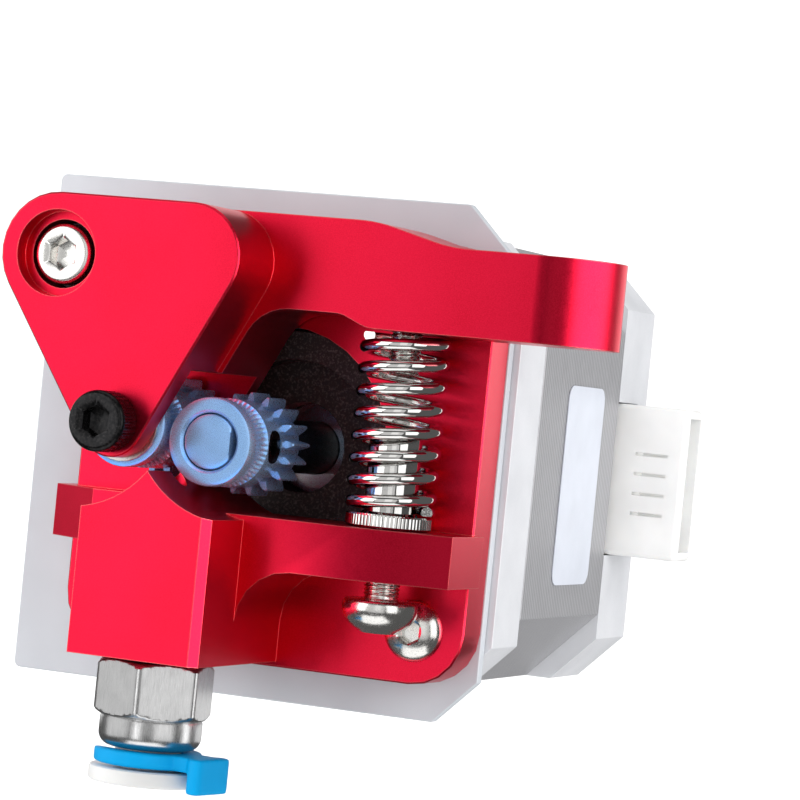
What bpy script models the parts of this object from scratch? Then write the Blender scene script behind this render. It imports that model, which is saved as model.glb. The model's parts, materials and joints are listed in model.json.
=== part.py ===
"""Lever-arm filament extruder with two meshing drive gears, on a 42 mm stepper motor.

Units are metres, +Z is up, +X points from the lever's pivot to its handle, and +Y points back, from the
gears into the motor.  The finished assembly has its origin in the middle of the motor's rear face, on the
shaft's axis.  While it is built, Y counts from the rear face of the base, where most pieces meet.
"""

import math

import bmesh
import bpy
from mathutils import Matrix, Vector


def mm(*values):
    """Lengths given in millimetres, returned in metres: one number, or a tuple of them."""
    scaled = tuple(0.001 * value for value in values)
    return scaled[0] if len(scaled) == 1 else scaled


NAME = "extruder_gear_assembly"

# Fits and facets
SEAT = mm(0.1)              # gap between flat faces that rest on each other
SLIP = mm(0.1)              # radial gap of a running or pressed fit
ROUND = 24                  # facets around a turned piece
FINE = 32                   # facets around a large bore
HOLE = 12                   # facets around a screw hole
WELD = 0.000001             # merge distance of the turned profiles
PAST = mm(1.0)              # how far a cutter reaches past the face that it cuts
OVERLAP = mm(0.5)           # how far a joined shape is sunk into its neighbour

# Motor: a 42 mm square frame, 31 mm bolt square
MOTOR_HALF = mm(21.15)
MOTOR_CHAMFER = mm(4.5)
STACK_CHAMFER = mm(7.0)
BOLT_X = BOLT_Z = mm(15.5)
SHEET_X = mm(-27.2, 20.5)
SHEET_HALF_HEIGHT = mm(24.0)
SHEET_CHAMFER = mm(4.1, 5.2)        # lower and upper right corners
SHEET_CORNER = mm(0.6)              # radius of the left corners
SHEET_Y = (SEAT, mm(1.25))
FRONT_CAP_Y = (SHEET_Y[1] + SEAT, mm(8.4))
STACK_Y = (FRONT_CAP_Y[1] + SEAT, mm(32.2))
REAR_CAP_Y = (STACK_Y[1] + SEAT, mm(41.4))
BOSS_RADIUS = mm(10.9)
BOSS_FRONT = mm(-0.75)
BOSS_RECESS = mm(8.2, 1.9)          # radius, floor
BOSS_EYE = mm(4.3, 6.0)             # radius, end
CAP_HOLLOW_Y = mm(5.0, 38.6)        # ends of the hollows in the two caps
REAR_POCKET_END = mm(38.3)
BEARING = mm(8.0, 2.5, 4.9)         # outer radius, bore radius, width
FRONT_BEARING_Y = mm(5.1)
REAR_BEARING_Y = mm(32.5)
COIL_SPACE = mm(9.6, 18.8)          # radii of the hollow that holds the end windings
WINDING = mm(13.6, 18.2)
WINDING_Y = mm(5.4, 37.2)           # outer ends of the front and rear windings
ROTOR_RADIUS = mm(13.0)
ROTOR_Y = mm(11.0, 20.6, 21.9, 31.6)        # ends of the front core, the magnet and the rear core
STATOR_BORE = mm(13.3)
STATOR_SLOT = mm(17.6)
POLES = 8
POLE_SHARE = (0.36, 0.40)           # half a pole's face and start of its slot, as shares of its pitch
SHAFT_RADIUS = mm(2.5)
SHAFT_Y = mm(-19.3, 37.2)
SHAFT_FLAT_X = mm(2.0)
SHAFT_FLAT_LENGTH = mm(15.0)
CONNECTOR_X = mm(19.2, 28.3)
CONNECTOR_Y = mm(33.1, 38.4)
CONNECTOR_Z = mm(-8.1, 7.2)
CONNECTOR_WALL = mm(0.9)
PLUG_FLOOR = mm(22.6)
VENT_X = mm(23.1, 26.5)
VENT_Z = mm(-3.7)                   # lowest of the four slots
VENT_PITCH = mm(2.0)
VENT_HALF = mm(0.22)
LABEL_Y = mm(16.2, 27.1)
LABEL_Z = mm(-11.0, 8.4)
LABEL_THICKNESS = mm(0.12)
LABEL_CORNER = mm(1.3)
MOTOR_BOLT_Y = mm(5.9, 39.0, 41.2)  # tip, seat of the head, front of the head
MOTOR_BOLT_RECESS = mm(3.1)
REAR_TAP_END = mm(5.7)
WAVE_WASHER = mm(7.8, 5.2, 37.6, 38.0)      # outer and inner radius, ends on Y

# Base, milled from one block
PLATE_Y = mm(-4.5, 0.0)
PLATE_X = mm(-20.0, 20.4)
PLATE_Z = mm(-20.4, 20.0)
PLATE_CORNER = mm(5.0)
WINDOW_RADIUS = mm(11.2)
BLOCK_X = mm(-10.4, 2.2)
BLOCK_FRONT = mm(-22.5)
BLOCK_BOTTOM = mm(-19.9)
BLOCK_TOP = mm(-2.0)                # of the crest left between the two saddles
BLOCK_CHAMFER = mm(0.75)
SADDLE_RADIUS = mm(9.8)
SADDLE_OFFSET = mm(7.8)             # sideways from the filament's path
SADDLE_Z = mm(2.9)
COUNTERSINK_FLOOR = mm(2.9)         # its distance in front of the plate's rear face
BAR_Z = mm(-11.0, -6.3)
BAR_FRONT = mm(-15.0)
BAR_END = mm(21.2)
BAR_SLANT = mm(12.5, -12.0)         # X where the front turns back, Y at the bar's end
COVE_RADIUS = mm(5.0)
WING_X = mm(-22.0, -16.5)           # outer end, start of its slanted facet
WING_Y = mm(-8.0, -4.6, -0.4)       # front, front at the outer end, rear
WING_Z = mm(-10.6, -5.7)

# Filament path and push fitting
PATH_X, PATH_Y = mm(-4.2, -16.6)
PATH_RADIUS = mm(1.1)
THREAD_RADIUS = mm(2.9)
THREAD_TOP = mm(-14.8)
HEX_Z = mm(-25.2, -20.1)
HEX_FLATS = mm(9.5)
HEX_CROWN = mm(4.65, 6.35)          # radii of the cone that trims the corners, over its height
HEX_TURN = math.radians(7.9)
SKIRT = mm(4.63, -28.0)             # radius, lower end
FITTING_BORE = mm(3.3, -22.4)       # radius and top of the collet's bore
TUBE_RADIUS = mm(2.1)
TUBE_STOP = mm(-17.2)               # the end of the tube's bore
CLIP_Z = mm(-29.5, -28.1)
CLIP_RADIUS = mm(4.9)
CLIP_SLOT = mm(3.12)                # half width of the slot that grips the collet
CLIP_TURN = math.radians(-11.0)     # direction of the clip's tab, from +X
CLIP_TAB_X = mm(6.0, 7.5)
CLIP_TAB_Z = mm(-31.3, -28.1)
CLIP_TAB_HALF = mm(2.5)
CLIP_TAB_CORNER = mm(0.5)
CLIP_NECK_HALF = mm(2.0)
COLLET_FLANGE = mm(5.2, -31.15, -29.8)       # radius, lower and upper face
COLLET_SLEEVE = mm(3.0, -25.3)      # radius, top
SEAL = mm(2.7, -23.1, 0.5)          # radius and height of its middle, radius of its section
GRIP_RING = mm(3.2, 2.2, -24.6, -24.2)      # outer and inner radius, lower and upper face

# Lever
PIVOT_X, PIVOT_Z = mm(-15.5, 15.5)
PIVOT_RADIUS = mm(5.5)
IDLER_X, IDLER_Z = mm(-8.45, 0.9)
IDLER_BOSS_RADIUS = mm(3.15)
EAR_CORNER = mm(-2.3, 16.2, 4.8)    # X, Z and radius of the ear's upper right corner
EAR_FRONT = mm(-22.2)
ARM_Y = mm(-14.5, -4.8)
ARM_TOP = mm(21.0)
ARM_BOTTOM = mm(12.5)
HANDLE_Z = mm(11.4, 19.15)
HANDLE_END = mm(33.55)
HANDLE_ROUND = mm(6.2)              # radius of its front corner
HANDLE_STEP_TOP = mm(12.0, 19.3)    # X where the top edge starts and ends its S-curve
HANDLE_STEP_BOTTOM = mm(9.4, 12.0)
LEG_FILLET = mm(4.4)
LEG_MARGIN = mm(0.5)                # how far the leg's edge stands to the right of the ear's
LEG_LENGTH = mm(11.0)
SLOT_Y = mm(-19.85, -6.6)
SLOT_TOP = mm(6.2)
COUNTERBORE = mm(3.9, 1.6)          # radius, depth
PIVOT_BORE = mm(3.1)
LEVER_FILAMENT_BORE = mm(1.25)
FUNNEL_RADIUS = mm(2.1)
CHAMFER = mm(0.15)                  # on the rims of the milled pieces

# Spring and its adjuster
SPRING_X, SPRING_Y = mm(14.0, -9.6)
SPRING_RADIUS = mm(3.67)
WIRE_RADIUS = mm(0.475)
SPRING_Z = mm(-4.9, 11.3)
SPRING_TURNS = 8.5
SPRING_CLOSED_TURNS = 1.0           # close-wound at each end
CLOSED_PITCH = 2.3 * WIRE_RADIUS
SEAT_FLANGE = mm(3.9, -6.2, -5.0)   # radius, lower and upper face
SEAT_POST = mm(2.4, 2.4)            # radius, top
SEAT_SOCKET = mm(1.8, -3.0)         # radius, roof of the socket for the screw's tip
STUD_Z = mm(7.6, 16.5)
ADJUSTER_RADIUS = mm(1.65)
ADJUSTER_TOP = mm(-3.2)
ADJUSTER_HEAD = mm(3.45, -12.9, -16.1)      # radius, seat, end
ADJUSTER_KEY = mm(2.5)

# Gears: 17 teeth of module 0.5, one pair on 8.5 mm centres
TEETH = 17
TIP_RADIUS = mm(4.72)
PITCH_RADIUS = mm(4.25)
ROOT_RADIUS = mm(3.62)
TOOTH_HALF = {"root": mm(0.43), "pitch": mm(0.275), "tip": mm(0.105)}
IDLER_LEAN = 0.03           # radians: the idler's teeth sit to one side in the gaps, to part cleanly
GEAR_Y = mm(-19.3, -7.3)
TOOTHED_LENGTH = mm(3.9)
HUB_RADIUS = mm(4.0)
HOB_HALF_WIDTH = mm(1.35)
HOB_DEPTH = mm(0.5)
GRUB_Y = mm(-13.6)
GRUB_TOP = mm(3.85)
GRUB_KEY, GRUB_KEY_DEPTH = mm(0.85, 0.95)   # radius to the hexagon's corners, depth
NEEDLE_RADIUS = mm(2.5)
NEEDLE_Y = mm(-19.2, -13.6, -13.1, -7.5)    # ends of the front and rear needle bearings

# Fasteners: the M3 screws
M3 = mm(1.5)
M3_HOLE = mm(1.65)
CAP_HEAD = mm(2.75, 3.0)            # radius, height
BUTTON_HEAD = mm(2.85, 1.65)
CAP_KEY = mm(2.5)                   # across the socket's flats
BUTTON_KEY = mm(2.0)
PIVOT_HEAD_FRONT = mm(-21.0)
AXLE_HEAD_FRONT = EAR_FRONT - SEAT - CAP_HEAD[1]
SCREW_END_Y = mm(5.0)
WASHER_RADIUS = mm(3.5)
COUNTERSUNK = mm(2.85, 4.6, 3.0)    # head radius, its front on -Y, start of the cone under it


# ---------------------------------------------------------------- scene and materials

def start_scene():
    """Empty the scene and return the collections for the parts and for the cutters."""
    for stale in list(bpy.data.objects):
        bpy.data.objects.remove(stale, do_unlink=True)
    parts = bpy.data.collections.new(NAME)
    cutters = bpy.data.collections.new("cutters")
    for collection in (parts, cutters):
        bpy.context.scene.collection.children.link(collection)
    return parts, cutters


PARTS, CUTTERS = start_scene()


def material(name, colour, metallic, roughness):
    """A Principled material with a plain colour."""
    made = bpy.data.materials.new(name)
    made.use_nodes = True
    shader = made.node_tree.nodes["Principled BSDF"]
    shader.inputs["Base Color"].default_value = (*colour, 1.0)
    shader.inputs["Metallic"].default_value = metallic
    shader.inputs["Roughness"].default_value = roughness
    return made


RED = material("red_anodised_aluminium", (0.62, 0.004, 0.030), 0.85, 0.34)
CAST = material("cast_aluminium", (0.62, 0.63, 0.66), 0.70, 0.42)
SHEET = material("white_coated_sheet", (0.72, 0.73, 0.76), 0.10, 0.45)
LAMINATION = material("laminated_steel", (0.42, 0.42, 0.44), 0.80, 0.40)
STEEL = material("stainless_steel", (0.66, 0.66, 0.68), 1.00, 0.24)
CHROME = material("bright_nickel", (0.78, 0.77, 0.75), 1.00, 0.12)
BLACK_OXIDE = material("black_oxide_steel", (0.012, 0.012, 0.014), 0.60, 0.35)
DARK_STEEL = material("dark_steel", (0.09, 0.09, 0.10), 0.90, 0.40)
COPPER = material("enamelled_copper", (0.55, 0.20, 0.07), 0.90, 0.35)
MAGNET = material("sintered_magnet", (0.16, 0.16, 0.17), 0.60, 0.55)
WHITE_PLASTIC = material("white_nylon", (0.86, 0.86, 0.85), 0.00, 0.40)
BLUE_PLASTIC = material("blue_plastic", (0.004, 0.28, 0.80), 0.00, 0.35)
RUBBER = material("black_rubber", (0.02, 0.02, 0.02), 0.00, 0.70)
PAPER = material("blank_label", (0.90, 0.90, 0.91), 0.00, 0.50)


# ---------------------------------------------------------------- outlines

def arc(centre, radius, start, end, steps):
    """Points along an arc, angles in radians, both ends included."""
    turns = [start + (end - start) * step / steps for step in range(steps + 1)]
    return [(centre[0] + radius * math.cos(a), centre[1] + radius * math.sin(a)) for a in turns]


def circle(centre, radius, steps=ROUND):
    """Points around a full circle."""
    return arc(centre, radius, 0.0, math.tau, steps)[:-1]


def rectangle(across, along):
    """Four corners from two (low, high) pairs, counter-clockwise."""
    (left, right), (low, high) = across, along
    return [(left, low), (right, low), (right, high), (left, high)]


def rounded(corners, steps=5):
    """A polygon of (x, y, radius) corners, with an arc at every corner that has a radius."""
    outline = []
    for index, (x, y, radius) in enumerate(corners):
        corner = Vector((x, y))
        if not radius:
            outline.append((x, y))
            continue
        before = (Vector(corners[index - 1][:2]) - corner).normalized()
        after = (Vector(corners[(index + 1) % len(corners)][:2]) - corner).normalized()
        half = before.angle(after) / 2.0
        centre = corner + (before + after).normalized() * (radius / math.sin(half))
        start = corner + before * (radius / math.tan(half)) - centre
        end = corner + after * (radius / math.tan(half)) - centre
        sweep = -start.angle_signed(end)
        turn = math.atan2(start.y, start.x)
        outline += arc(centre, radius, turn, turn + sweep, steps)
    return outline


def belt(circles, steps=10):
    """The outline of a belt stretched around (x, y, radius) circles, given counter-clockwise."""
    normals = []
    for index, (x, y, radius) in enumerate(circles):
        next_x, next_y, next_radius = circles[(index + 1) % len(circles)]
        along = math.atan2(next_y - y, next_x - x)
        spread = math.acos((radius - next_radius) / math.hypot(next_x - x, next_y - y))
        normals.append(along - spread)
    outline = []
    for index, (x, y, radius) in enumerate(circles):
        start, end = normals[index - 1], normals[index]
        while end < start:
            end += math.tau
        outline += arc((x, y), radius, start, end, steps)
    return outline


def octagon(half, chamfer):
    """A square of half width half, with its corners cut at 45 degrees."""
    cut = half - chamfer
    return [(half, -cut), (half, cut), (cut, half), (-cut, half),
            (-half, cut), (-half, -cut), (-cut, -half), (cut, -half)]


def gear_outline(centre, phase):
    """Teeth with straight flanks from root to pitch line to tip, the first centred on phase."""
    outline = []
    flank = (("root", ROOT_RADIUS), ("pitch", PITCH_RADIUS), ("tip", TIP_RADIUS))
    for tooth in range(TEETH):
        middle = phase + math.tau * tooth / TEETH
        for side, order in ((-1, flank), (1, flank[::-1])):
            for key, radius in order:
                turn = middle + side * TOOTH_HALF[key] / radius
                outline.append((centre[0] + radius * math.cos(turn), centre[1] + radius * math.sin(turn)))
    return outline


# ---------------------------------------------------------------- solids

FACING_FRONT = Matrix.Rotation(math.pi / 2.0, 4, "X")     # local Z runs to -Y, local Y to +Z
UPRIGHT = Matrix.Identity(4)


def add_object(name, data, finish, matrix):
    """Link a mesh or curve as a named part."""
    made = bpy.data.objects.new(name, data)
    data.materials.append(finish)
    PARTS.objects.link(made)
    made.matrix_world = matrix
    return made


def as_mesh(piece):
    """Replace a curve object with the mesh it evaluates to, welded and facing out."""
    bpy.context.view_layer.update()
    evaluated = piece.evaluated_get(bpy.context.evaluated_depsgraph_get())
    mesh = bpy.data.meshes.new_from_object(evaluated)
    work = bmesh.new()
    work.from_mesh(mesh)
    bmesh.ops.remove_doubles(work, verts=work.verts, dist=WELD)
    bmesh.ops.recalc_face_normals(work, faces=work.faces)
    work.to_mesh(mesh)
    work.free()
    name, matrix, curve = piece.name, piece.matrix_world.copy(), piece.data
    bpy.data.objects.remove(piece)
    bpy.data.curves.remove(curve)
    made = bpy.data.objects.new(name, mesh)
    PARTS.objects.link(made)
    made.matrix_world = matrix
    return made


def prism(name, loops, low, high, finish, frame=FACING_FRONT, edge=0.0):
    """Flat loops extruded between two planes: along Y by default, along Z when frame is UPRIGHT.

    A single loop can have its two rims broken by a 45 degree chamfer, edge wide.
    """
    curve = bpy.data.curves.new(name, "CURVE")
    curve.dimensions = "2D"
    curve.fill_mode = "BOTH"
    curve.extrude = (high - low) / 2.0 - edge
    curve.bevel_depth = edge
    curve.bevel_resolution = 0
    curve.offset = -edge
    for loop in loops:
        spline = curve.splines.new("POLY")
        spline.points.add(len(loop) - 1)
        for point, (x, y) in zip(spline.points, loop):
            point.co = (x, y, 0.0, 1.0)
        spline.use_cyclic_u = True
    along = Vector((0.0, 1.0, 0.0)) if frame is FACING_FRONT else Vector((0.0, 0.0, 1.0))
    matrix = Matrix.Translation(along * ((low + high) / 2.0)) @ frame
    return as_mesh(add_object(name, curve, finish, matrix))


def turned(name, profile, centre, finish, frame=FACING_FRONT, facets=ROUND, closed=False):
    """A (radius, height) profile, from top to bottom on its outer side, turned about an axis.

    The axis passes through centre.  It points to the front, so a height is minus Y, or up when
    frame is UPRIGHT.  A closed profile goes on round its bore, back to the top.
    """
    mesh = bpy.data.meshes.new(name)
    count = len(profile)
    edges = [(index, index + 1) for index in range(count - 1)]
    if closed:
        edges.append((count - 1, 0))
    mesh.from_pydata([(radius, 0.0, height) for radius, height in profile], edges, [])
    made = add_object(name, mesh, finish, Matrix.Translation(centre) @ frame)
    screw = made.modifiers.new("turn", "SCREW")
    screw.axis = "Z"
    screw.steps = screw.render_steps = facets
    screw.use_merge_vertices = True
    screw.merge_threshold = WELD
    return made


def ring(name, centre, outer, inner, low, high, finish, frame=FACING_FRONT, facets=ROUND):
    """A plain turned tube."""
    profile = [(inner, high), (outer, high), (outer, low), (inner, low)]
    return turned(name, profile, centre, finish, frame, facets, closed=True)


def rod(name, centre, radius, low, high, finish, frame=FACING_FRONT, facets=ROUND):
    """A solid cylinder, or a hexagonal bar when facets is 6."""
    mesh = bpy.data.meshes.new(name)
    work = bmesh.new()
    bmesh.ops.create_cone(work, cap_ends=True, segments=facets, radius1=radius, radius2=radius,
                          depth=high - low, matrix=Matrix.Translation((0.0, 0.0, (low + high) / 2.0)))
    work.to_mesh(mesh)
    work.free()
    return add_object(name, mesh, finish, Matrix.Translation(centre) @ frame)


def block(name, across, back, up, finish):
    """A box between (low, high) pairs on X, Y and Z."""
    mesh = bpy.data.meshes.new(name)
    work = bmesh.new()
    size = [pair[1] - pair[0] for pair in (across, back, up)]
    bmesh.ops.create_cube(work, size=1.0, matrix=Matrix.Diagonal((*size, 1.0)))
    work.to_mesh(mesh)
    work.free()
    middle = [(pair[0] + pair[1]) / 2.0 for pair in (across, back, up)]
    return add_object(name, mesh, finish, Matrix.Translation(middle))


def combine(target, tool, operation):
    """Boolean a tool into a target, and put the tool away with the cutters."""
    PARTS.objects.unlink(tool)
    CUTTERS.objects.link(tool)
    tool.hide_render = True
    tool.display_type = "WIRE"
    step = target.modifiers.new(tool.name, "BOOLEAN")
    step.object = tool
    step.operation = operation
    step.solver = "EXACT"


def cut(target, *tools):
    for tool in tools:
        combine(target, tool, "DIFFERENCE")


def join(target, *tools):
    for tool in tools:
        combine(target, tool, "UNION")


def smooth(piece):
    """Shade round faces smooth and keep real edges sharp."""
    piece.data.shade_smooth()
    piece.data.set_sharp_from_angle(angle=math.radians(30.0))


def bolt_points():
    """The four corners of the motor's bolt square, by name, as (x, z)."""
    return {"upper_left": (-BOLT_X, BOLT_Z), "lower_left": (-BOLT_X, -BOLT_Z),
            "lower_right": (BOLT_X, -BOLT_Z), "upper_right": (BOLT_X, BOLT_Z)}


# ---------------------------------------------------------------- motor

def mounting_sheet():
    left, right = SHEET_X
    high = SHEET_HALF_HEIGHT
    lower, upper = SHEET_CHAMFER
    outline = rounded([(left, -high, SHEET_CORNER), (right - lower, -high, 0), (right, lower - high, 0),
                       (right, high - upper, 0), (right - upper, high, 0), (left, high, SHEET_CORNER)])
    holes = [circle(point, M3_HOLE, HOLE) for point in bolt_points().values()]
    prism("mounting_sheet", [outline, circle((0, 0), WINDOW_RADIUS, FINE), *holes], *SHEET_Y, SHEET)


def cap_hollow(name, low, high):
    """The ring-shaped hollow of an end cap, where the ends of the windings sit."""
    return ring(name, (0, 0, 0), COIL_SPACE[1], COIL_SPACE[0], -high, -low, CAST, facets=FINE)


def motor_front_cap():
    front, rear = FRONT_CAP_Y
    cap = prism("motor_front_cap", [octagon(MOTOR_HALF, MOTOR_CHAMFER)], front, rear, CAST)
    join(cap, rod("front_boss", (0, 0, 0), BOSS_RADIUS, -front - PAST, -BOSS_FRONT, CAST, facets=FINE))
    pocket_floor = FRONT_BEARING_Y - SEAT
    before = PAST - BOSS_FRONT
    cut(cap, cap_hollow("front_hollow", CAP_HOLLOW_Y[0], rear + PAST),
        rod("boss_recess", (0, 0, 0), BOSS_RECESS[0], -BOSS_RECESS[1], before, CAST, facets=FINE),
        rod("boss_eye", (0, 0, 0), BOSS_EYE[0], -BOSS_EYE[1], before, CAST),
        rod("front_pocket", (0, 0, 0), BEARING[0] + SLIP, -rear - PAST, -pocket_floor, CAST, facets=FINE))
    for name, (x, z) in bolt_points().items():
        at, tap_end = (x, 0, z), -SCREW_END_Y - SLIP * 2
        cut(cap, rod("front_tap_" + name, at, M3_HOLE, tap_end, PAST, CAST, facets=HOLE),
            rod("rear_tap_" + name, at, M3_HOLE, -rear - PAST, -REAR_TAP_END, CAST, facets=HOLE))


def stator_stack():
    pole = math.tau / POLES
    face, slot = (share * pole for share in POLE_SHARE)
    bore = []
    for index in range(POLES):
        turn = pole * index
        bore += arc((0, 0), STATOR_BORE, turn - face, turn + face, 4)
        bore += arc((0, 0), STATOR_SLOT, turn + slot, turn + pole - slot, 2)
    holes = [circle(point, M3_HOLE, HOLE) for point in bolt_points().values()]
    prism("stator_stack", [octagon(MOTOR_HALF, STACK_CHAMFER), bore, *holes], *STACK_Y, LAMINATION)


def end_windings():
    ends = (("front_winding", WINDING_Y[0], FRONT_CAP_Y[1]), ("rear_winding", REAR_CAP_Y[0], WINDING_Y[1]))
    for name, low, high in ends:
        ring(name, (0, 0, 0), WINDING[1], WINDING[0], -high, -low, COPPER, facets=FINE)


def motor_rear_cap():
    front, rear = REAR_CAP_Y
    cap = prism("motor_rear_cap", [octagon(MOTOR_HALF, MOTOR_CHAMFER)], front, rear, CAST)
    cut(cap, cap_hollow("rear_hollow", front - PAST, CAP_HOLLOW_Y[1]),
        rod("rear_pocket", (0, 0, 0), BEARING[0] + SLIP, -REAR_POCKET_END, PAST - front, CAST, facets=FINE),
        block("connector_notch", (CONNECTOR_X[0] - CONNECTOR_WALL * 2, MOTOR_HALF + PAST),
              (front - PAST, CONNECTOR_Y[1] + SEAT), (CONNECTOR_Z[0] - SEAT, CONNECTOR_Z[1] + SEAT), CAST))
    recess_floor = MOTOR_BOLT_Y[1] - SEAT
    for name, (x, z) in bolt_points().items():
        at, end = (x, 0, z), -rear - PAST
        cut(cap, rod("bolt_hole_" + name, at, M3_HOLE, end, PAST - front, CAST, facets=HOLE),
            rod("bolt_recess_" + name, at, MOTOR_BOLT_RECESS, end, -recess_floor, CAST, facets=16))


def motor_bolts():
    """Four long screws that clamp the rear cap and the stack to the front cap."""
    tip, shank, head = MOTOR_BOLT_Y
    radius, soft = CAP_HEAD[0], mm(0.4)
    for name, (x, z) in bolt_points().items():
        profile = [(0, -tip), (M3, -tip), (M3, -shank), (radius, -shank), (radius, -head + soft),
                   (radius - soft, -head), (0, -head)]
        bolt = turned("motor_bolt_" + name, profile, (x, 0, z), STEEL, facets=HOLE)
        smooth(bolt)
        for turn in (0.0, math.pi / 2.0):
            slot_name = "cross_%s_%d" % (name, round(turn))
            slot = block(slot_name, mm(-1.5, 1.5), mm(-0.6, 1.0), mm(-0.3, 0.3), STEEL)
            slot.matrix_world = Matrix.Translation((x, head, z)) @ Matrix.Rotation(turn, 4, "Y")
            cut(bolt, slot)


def bearings():
    outer, inner, width = BEARING
    for name, low in (("front_bearing", FRONT_BEARING_Y), ("rear_bearing", REAR_BEARING_Y)):
        high = low + width
        groove, land = mm(0.35), mm(1.4)
        outer_land, inner_land = outer - land, inner + land
        bore = inner + SLIP
        profile = [(bore, -low), (inner_land, -low), (inner_land, -low - groove), (outer_land, -low - groove),
                   (outer_land, -low), (outer, -low), (outer, -high), (bore, -high)]
        smooth(turned(name, profile, (0, 0, 0), STEEL, closed=True))
    outer, inner, front, rear = WAVE_WASHER
    ring("wave_washer", (0, 0, 0), outer, inner, -rear, -front, DARK_STEEL)


def motor_connector():
    shell = block("motor_connector", CONNECTOR_X, CONNECTOR_Y, CONNECTOR_Z, WHITE_PLASTIC)
    wall, front = CONNECTOR_WALL, CONNECTOR_Y[0]
    cut(shell, block("plug_space", (PLUG_FLOOR, CONNECTOR_X[1] + PAST), (front + wall, CONNECTOR_Y[1] - wall),
                     (CONNECTOR_Z[0] + wall, CONNECTOR_Z[1] - wall), WHITE_PLASTIC))
    for index in range(4):
        level = VENT_Z + VENT_PITCH * index
        cut(shell, block("vent_%d" % index, VENT_X, (front - PAST, front + wall + SLIP),
                         (level - VENT_HALF, level + VENT_HALF), WHITE_PLASTIC))


def motor_label():
    corners = [(y, z, LABEL_CORNER) for y, z in rectangle(LABEL_Y, LABEL_Z)]
    sticker = prism("motor_label", [rounded(corners)], 0.0, LABEL_THICKNESS, PAPER, UPRIGHT)
    aside = Matrix(((0, 0, 1, 0), (1, 0, 0, 0), (0, 1, 0, 0), (0, 0, 0, 1)))     # local Z to +X, X to +Y
    sticker.matrix_world = Matrix.Translation((MOTOR_HALF + mm(0.04), 0, 0)) @ aside @ sticker.matrix_world


def rotor():
    front, rear = SHAFT_Y
    soft = mm(0.3)
    profile = [(0, -front), (SHAFT_RADIUS - soft, -front), (SHAFT_RADIUS, -front - soft),
               (SHAFT_RADIUS, -rear + soft), (SHAFT_RADIUS - soft, -rear), (0, -rear)]
    shaft = turned("motor_shaft", profile, (0, 0, 0), STEEL)
    smooth(shaft)
    aside = SHAFT_RADIUS + PAST
    cut(shaft, block("shaft_flat", (SHAFT_FLAT_X, aside), (front - PAST, front + SHAFT_FLAT_LENGTH),
                     (-aside, aside), STEEL))
    bore = SHAFT_RADIUS + SLIP
    rotor_front, magnet_front, magnet_rear, rotor_rear = ROTOR_Y
    stages = (("rotor_core_front", ROTOR_RADIUS, rotor_front, magnet_front, LAMINATION),
              ("rotor_magnet", ROTOR_RADIUS - mm(1.0), magnet_front + SEAT, magnet_rear, MAGNET),
              ("rotor_core_rear", ROTOR_RADIUS, magnet_rear + SEAT, rotor_rear, LAMINATION))
    for name, radius, low, high, finish in stages:
        smooth(ring(name, (0, 0, 0), radius, bore, -high, -low, finish, facets=FINE))


# ---------------------------------------------------------------- gears

def gear(name, x, z, bore, phase):
    """A toothed rear end and a hub whose concave band grips the filament."""
    front, rear = GEAR_Y
    shoulder = rear - TOOTHED_LENGTH
    soft, undercut, relief = mm(0.3, 0.2, 0.5)
    dip, core = HUB_RADIUS - HOB_DEPTH, ROOT_RADIUS - undercut
    hollow = (HOB_HALF_WIDTH ** 2 + HOB_DEPTH ** 2) / (2.0 * HOB_DEPTH)     # radius of the concave band
    half_turn = math.asin(HOB_HALF_WIDTH / hollow)
    band = arc((dip + hollow, -PATH_Y), hollow, math.pi - half_turn, math.pi + half_turn, 4)
    profile = [(bore, -front), (HUB_RADIUS - soft, -front), (HUB_RADIUS, -front - soft), *band,
               (HUB_RADIUS, -shoulder + undercut), (core, -shoulder - relief), (core, -rear + SEAT),
               (bore, -rear + SEAT)]
    body = turned(name, profile, (x, 0, z), STEEL, closed=True)
    smooth(body)
    teeth = prism(name + "_teeth", [gear_outline((x, z), phase), circle((x, z), bore + undercut)],
                  shoulder, rear, STEEL)
    join(body, teeth)
    return body


def drive_gear():
    bore = SHAFT_RADIUS + SLIP
    phase = math.atan2(IDLER_Z, IDLER_X)
    made = gear("drive_gear", 0.0, 0.0, bore, phase)
    sideways = Matrix.Rotation(math.pi / 2.0, 4, "Y")
    at = (0, GRUB_Y, 0)
    cut(made, rod("grub_hole", at, M3_HOLE, SHAFT_FLAT_X - PAST, TIP_RADIUS + PAST, STEEL, sideways, 20))
    grub = rod("grub_screw", at, M3, SHAFT_FLAT_X + SLIP, GRUB_TOP, BLACK_OXIDE, sideways, 20)
    smooth(grub)
    cut(grub, rod("grub_key", at, GRUB_KEY, GRUB_TOP - GRUB_KEY_DEPTH, GRUB_TOP + PAST,
                  BLACK_OXIDE, sideways, 6))


def idler():
    phase = math.atan2(-IDLER_Z, -IDLER_X) + math.pi / TEETH + IDLER_LEAN
    gear("idler_gear", IDLER_X, IDLER_Z, NEEDLE_RADIUS + SLIP, phase)
    for name, ends in (("needle_bearing_front", NEEDLE_Y[:2]), ("needle_bearing_rear", NEEDLE_Y[2:])):
        front, rear = ends
        smooth(ring(name, (IDLER_X, 0, IDLER_Z), NEEDLE_RADIUS, M3 + SLIP, -rear, -front, STEEL))


# ---------------------------------------------------------------- base

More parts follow.
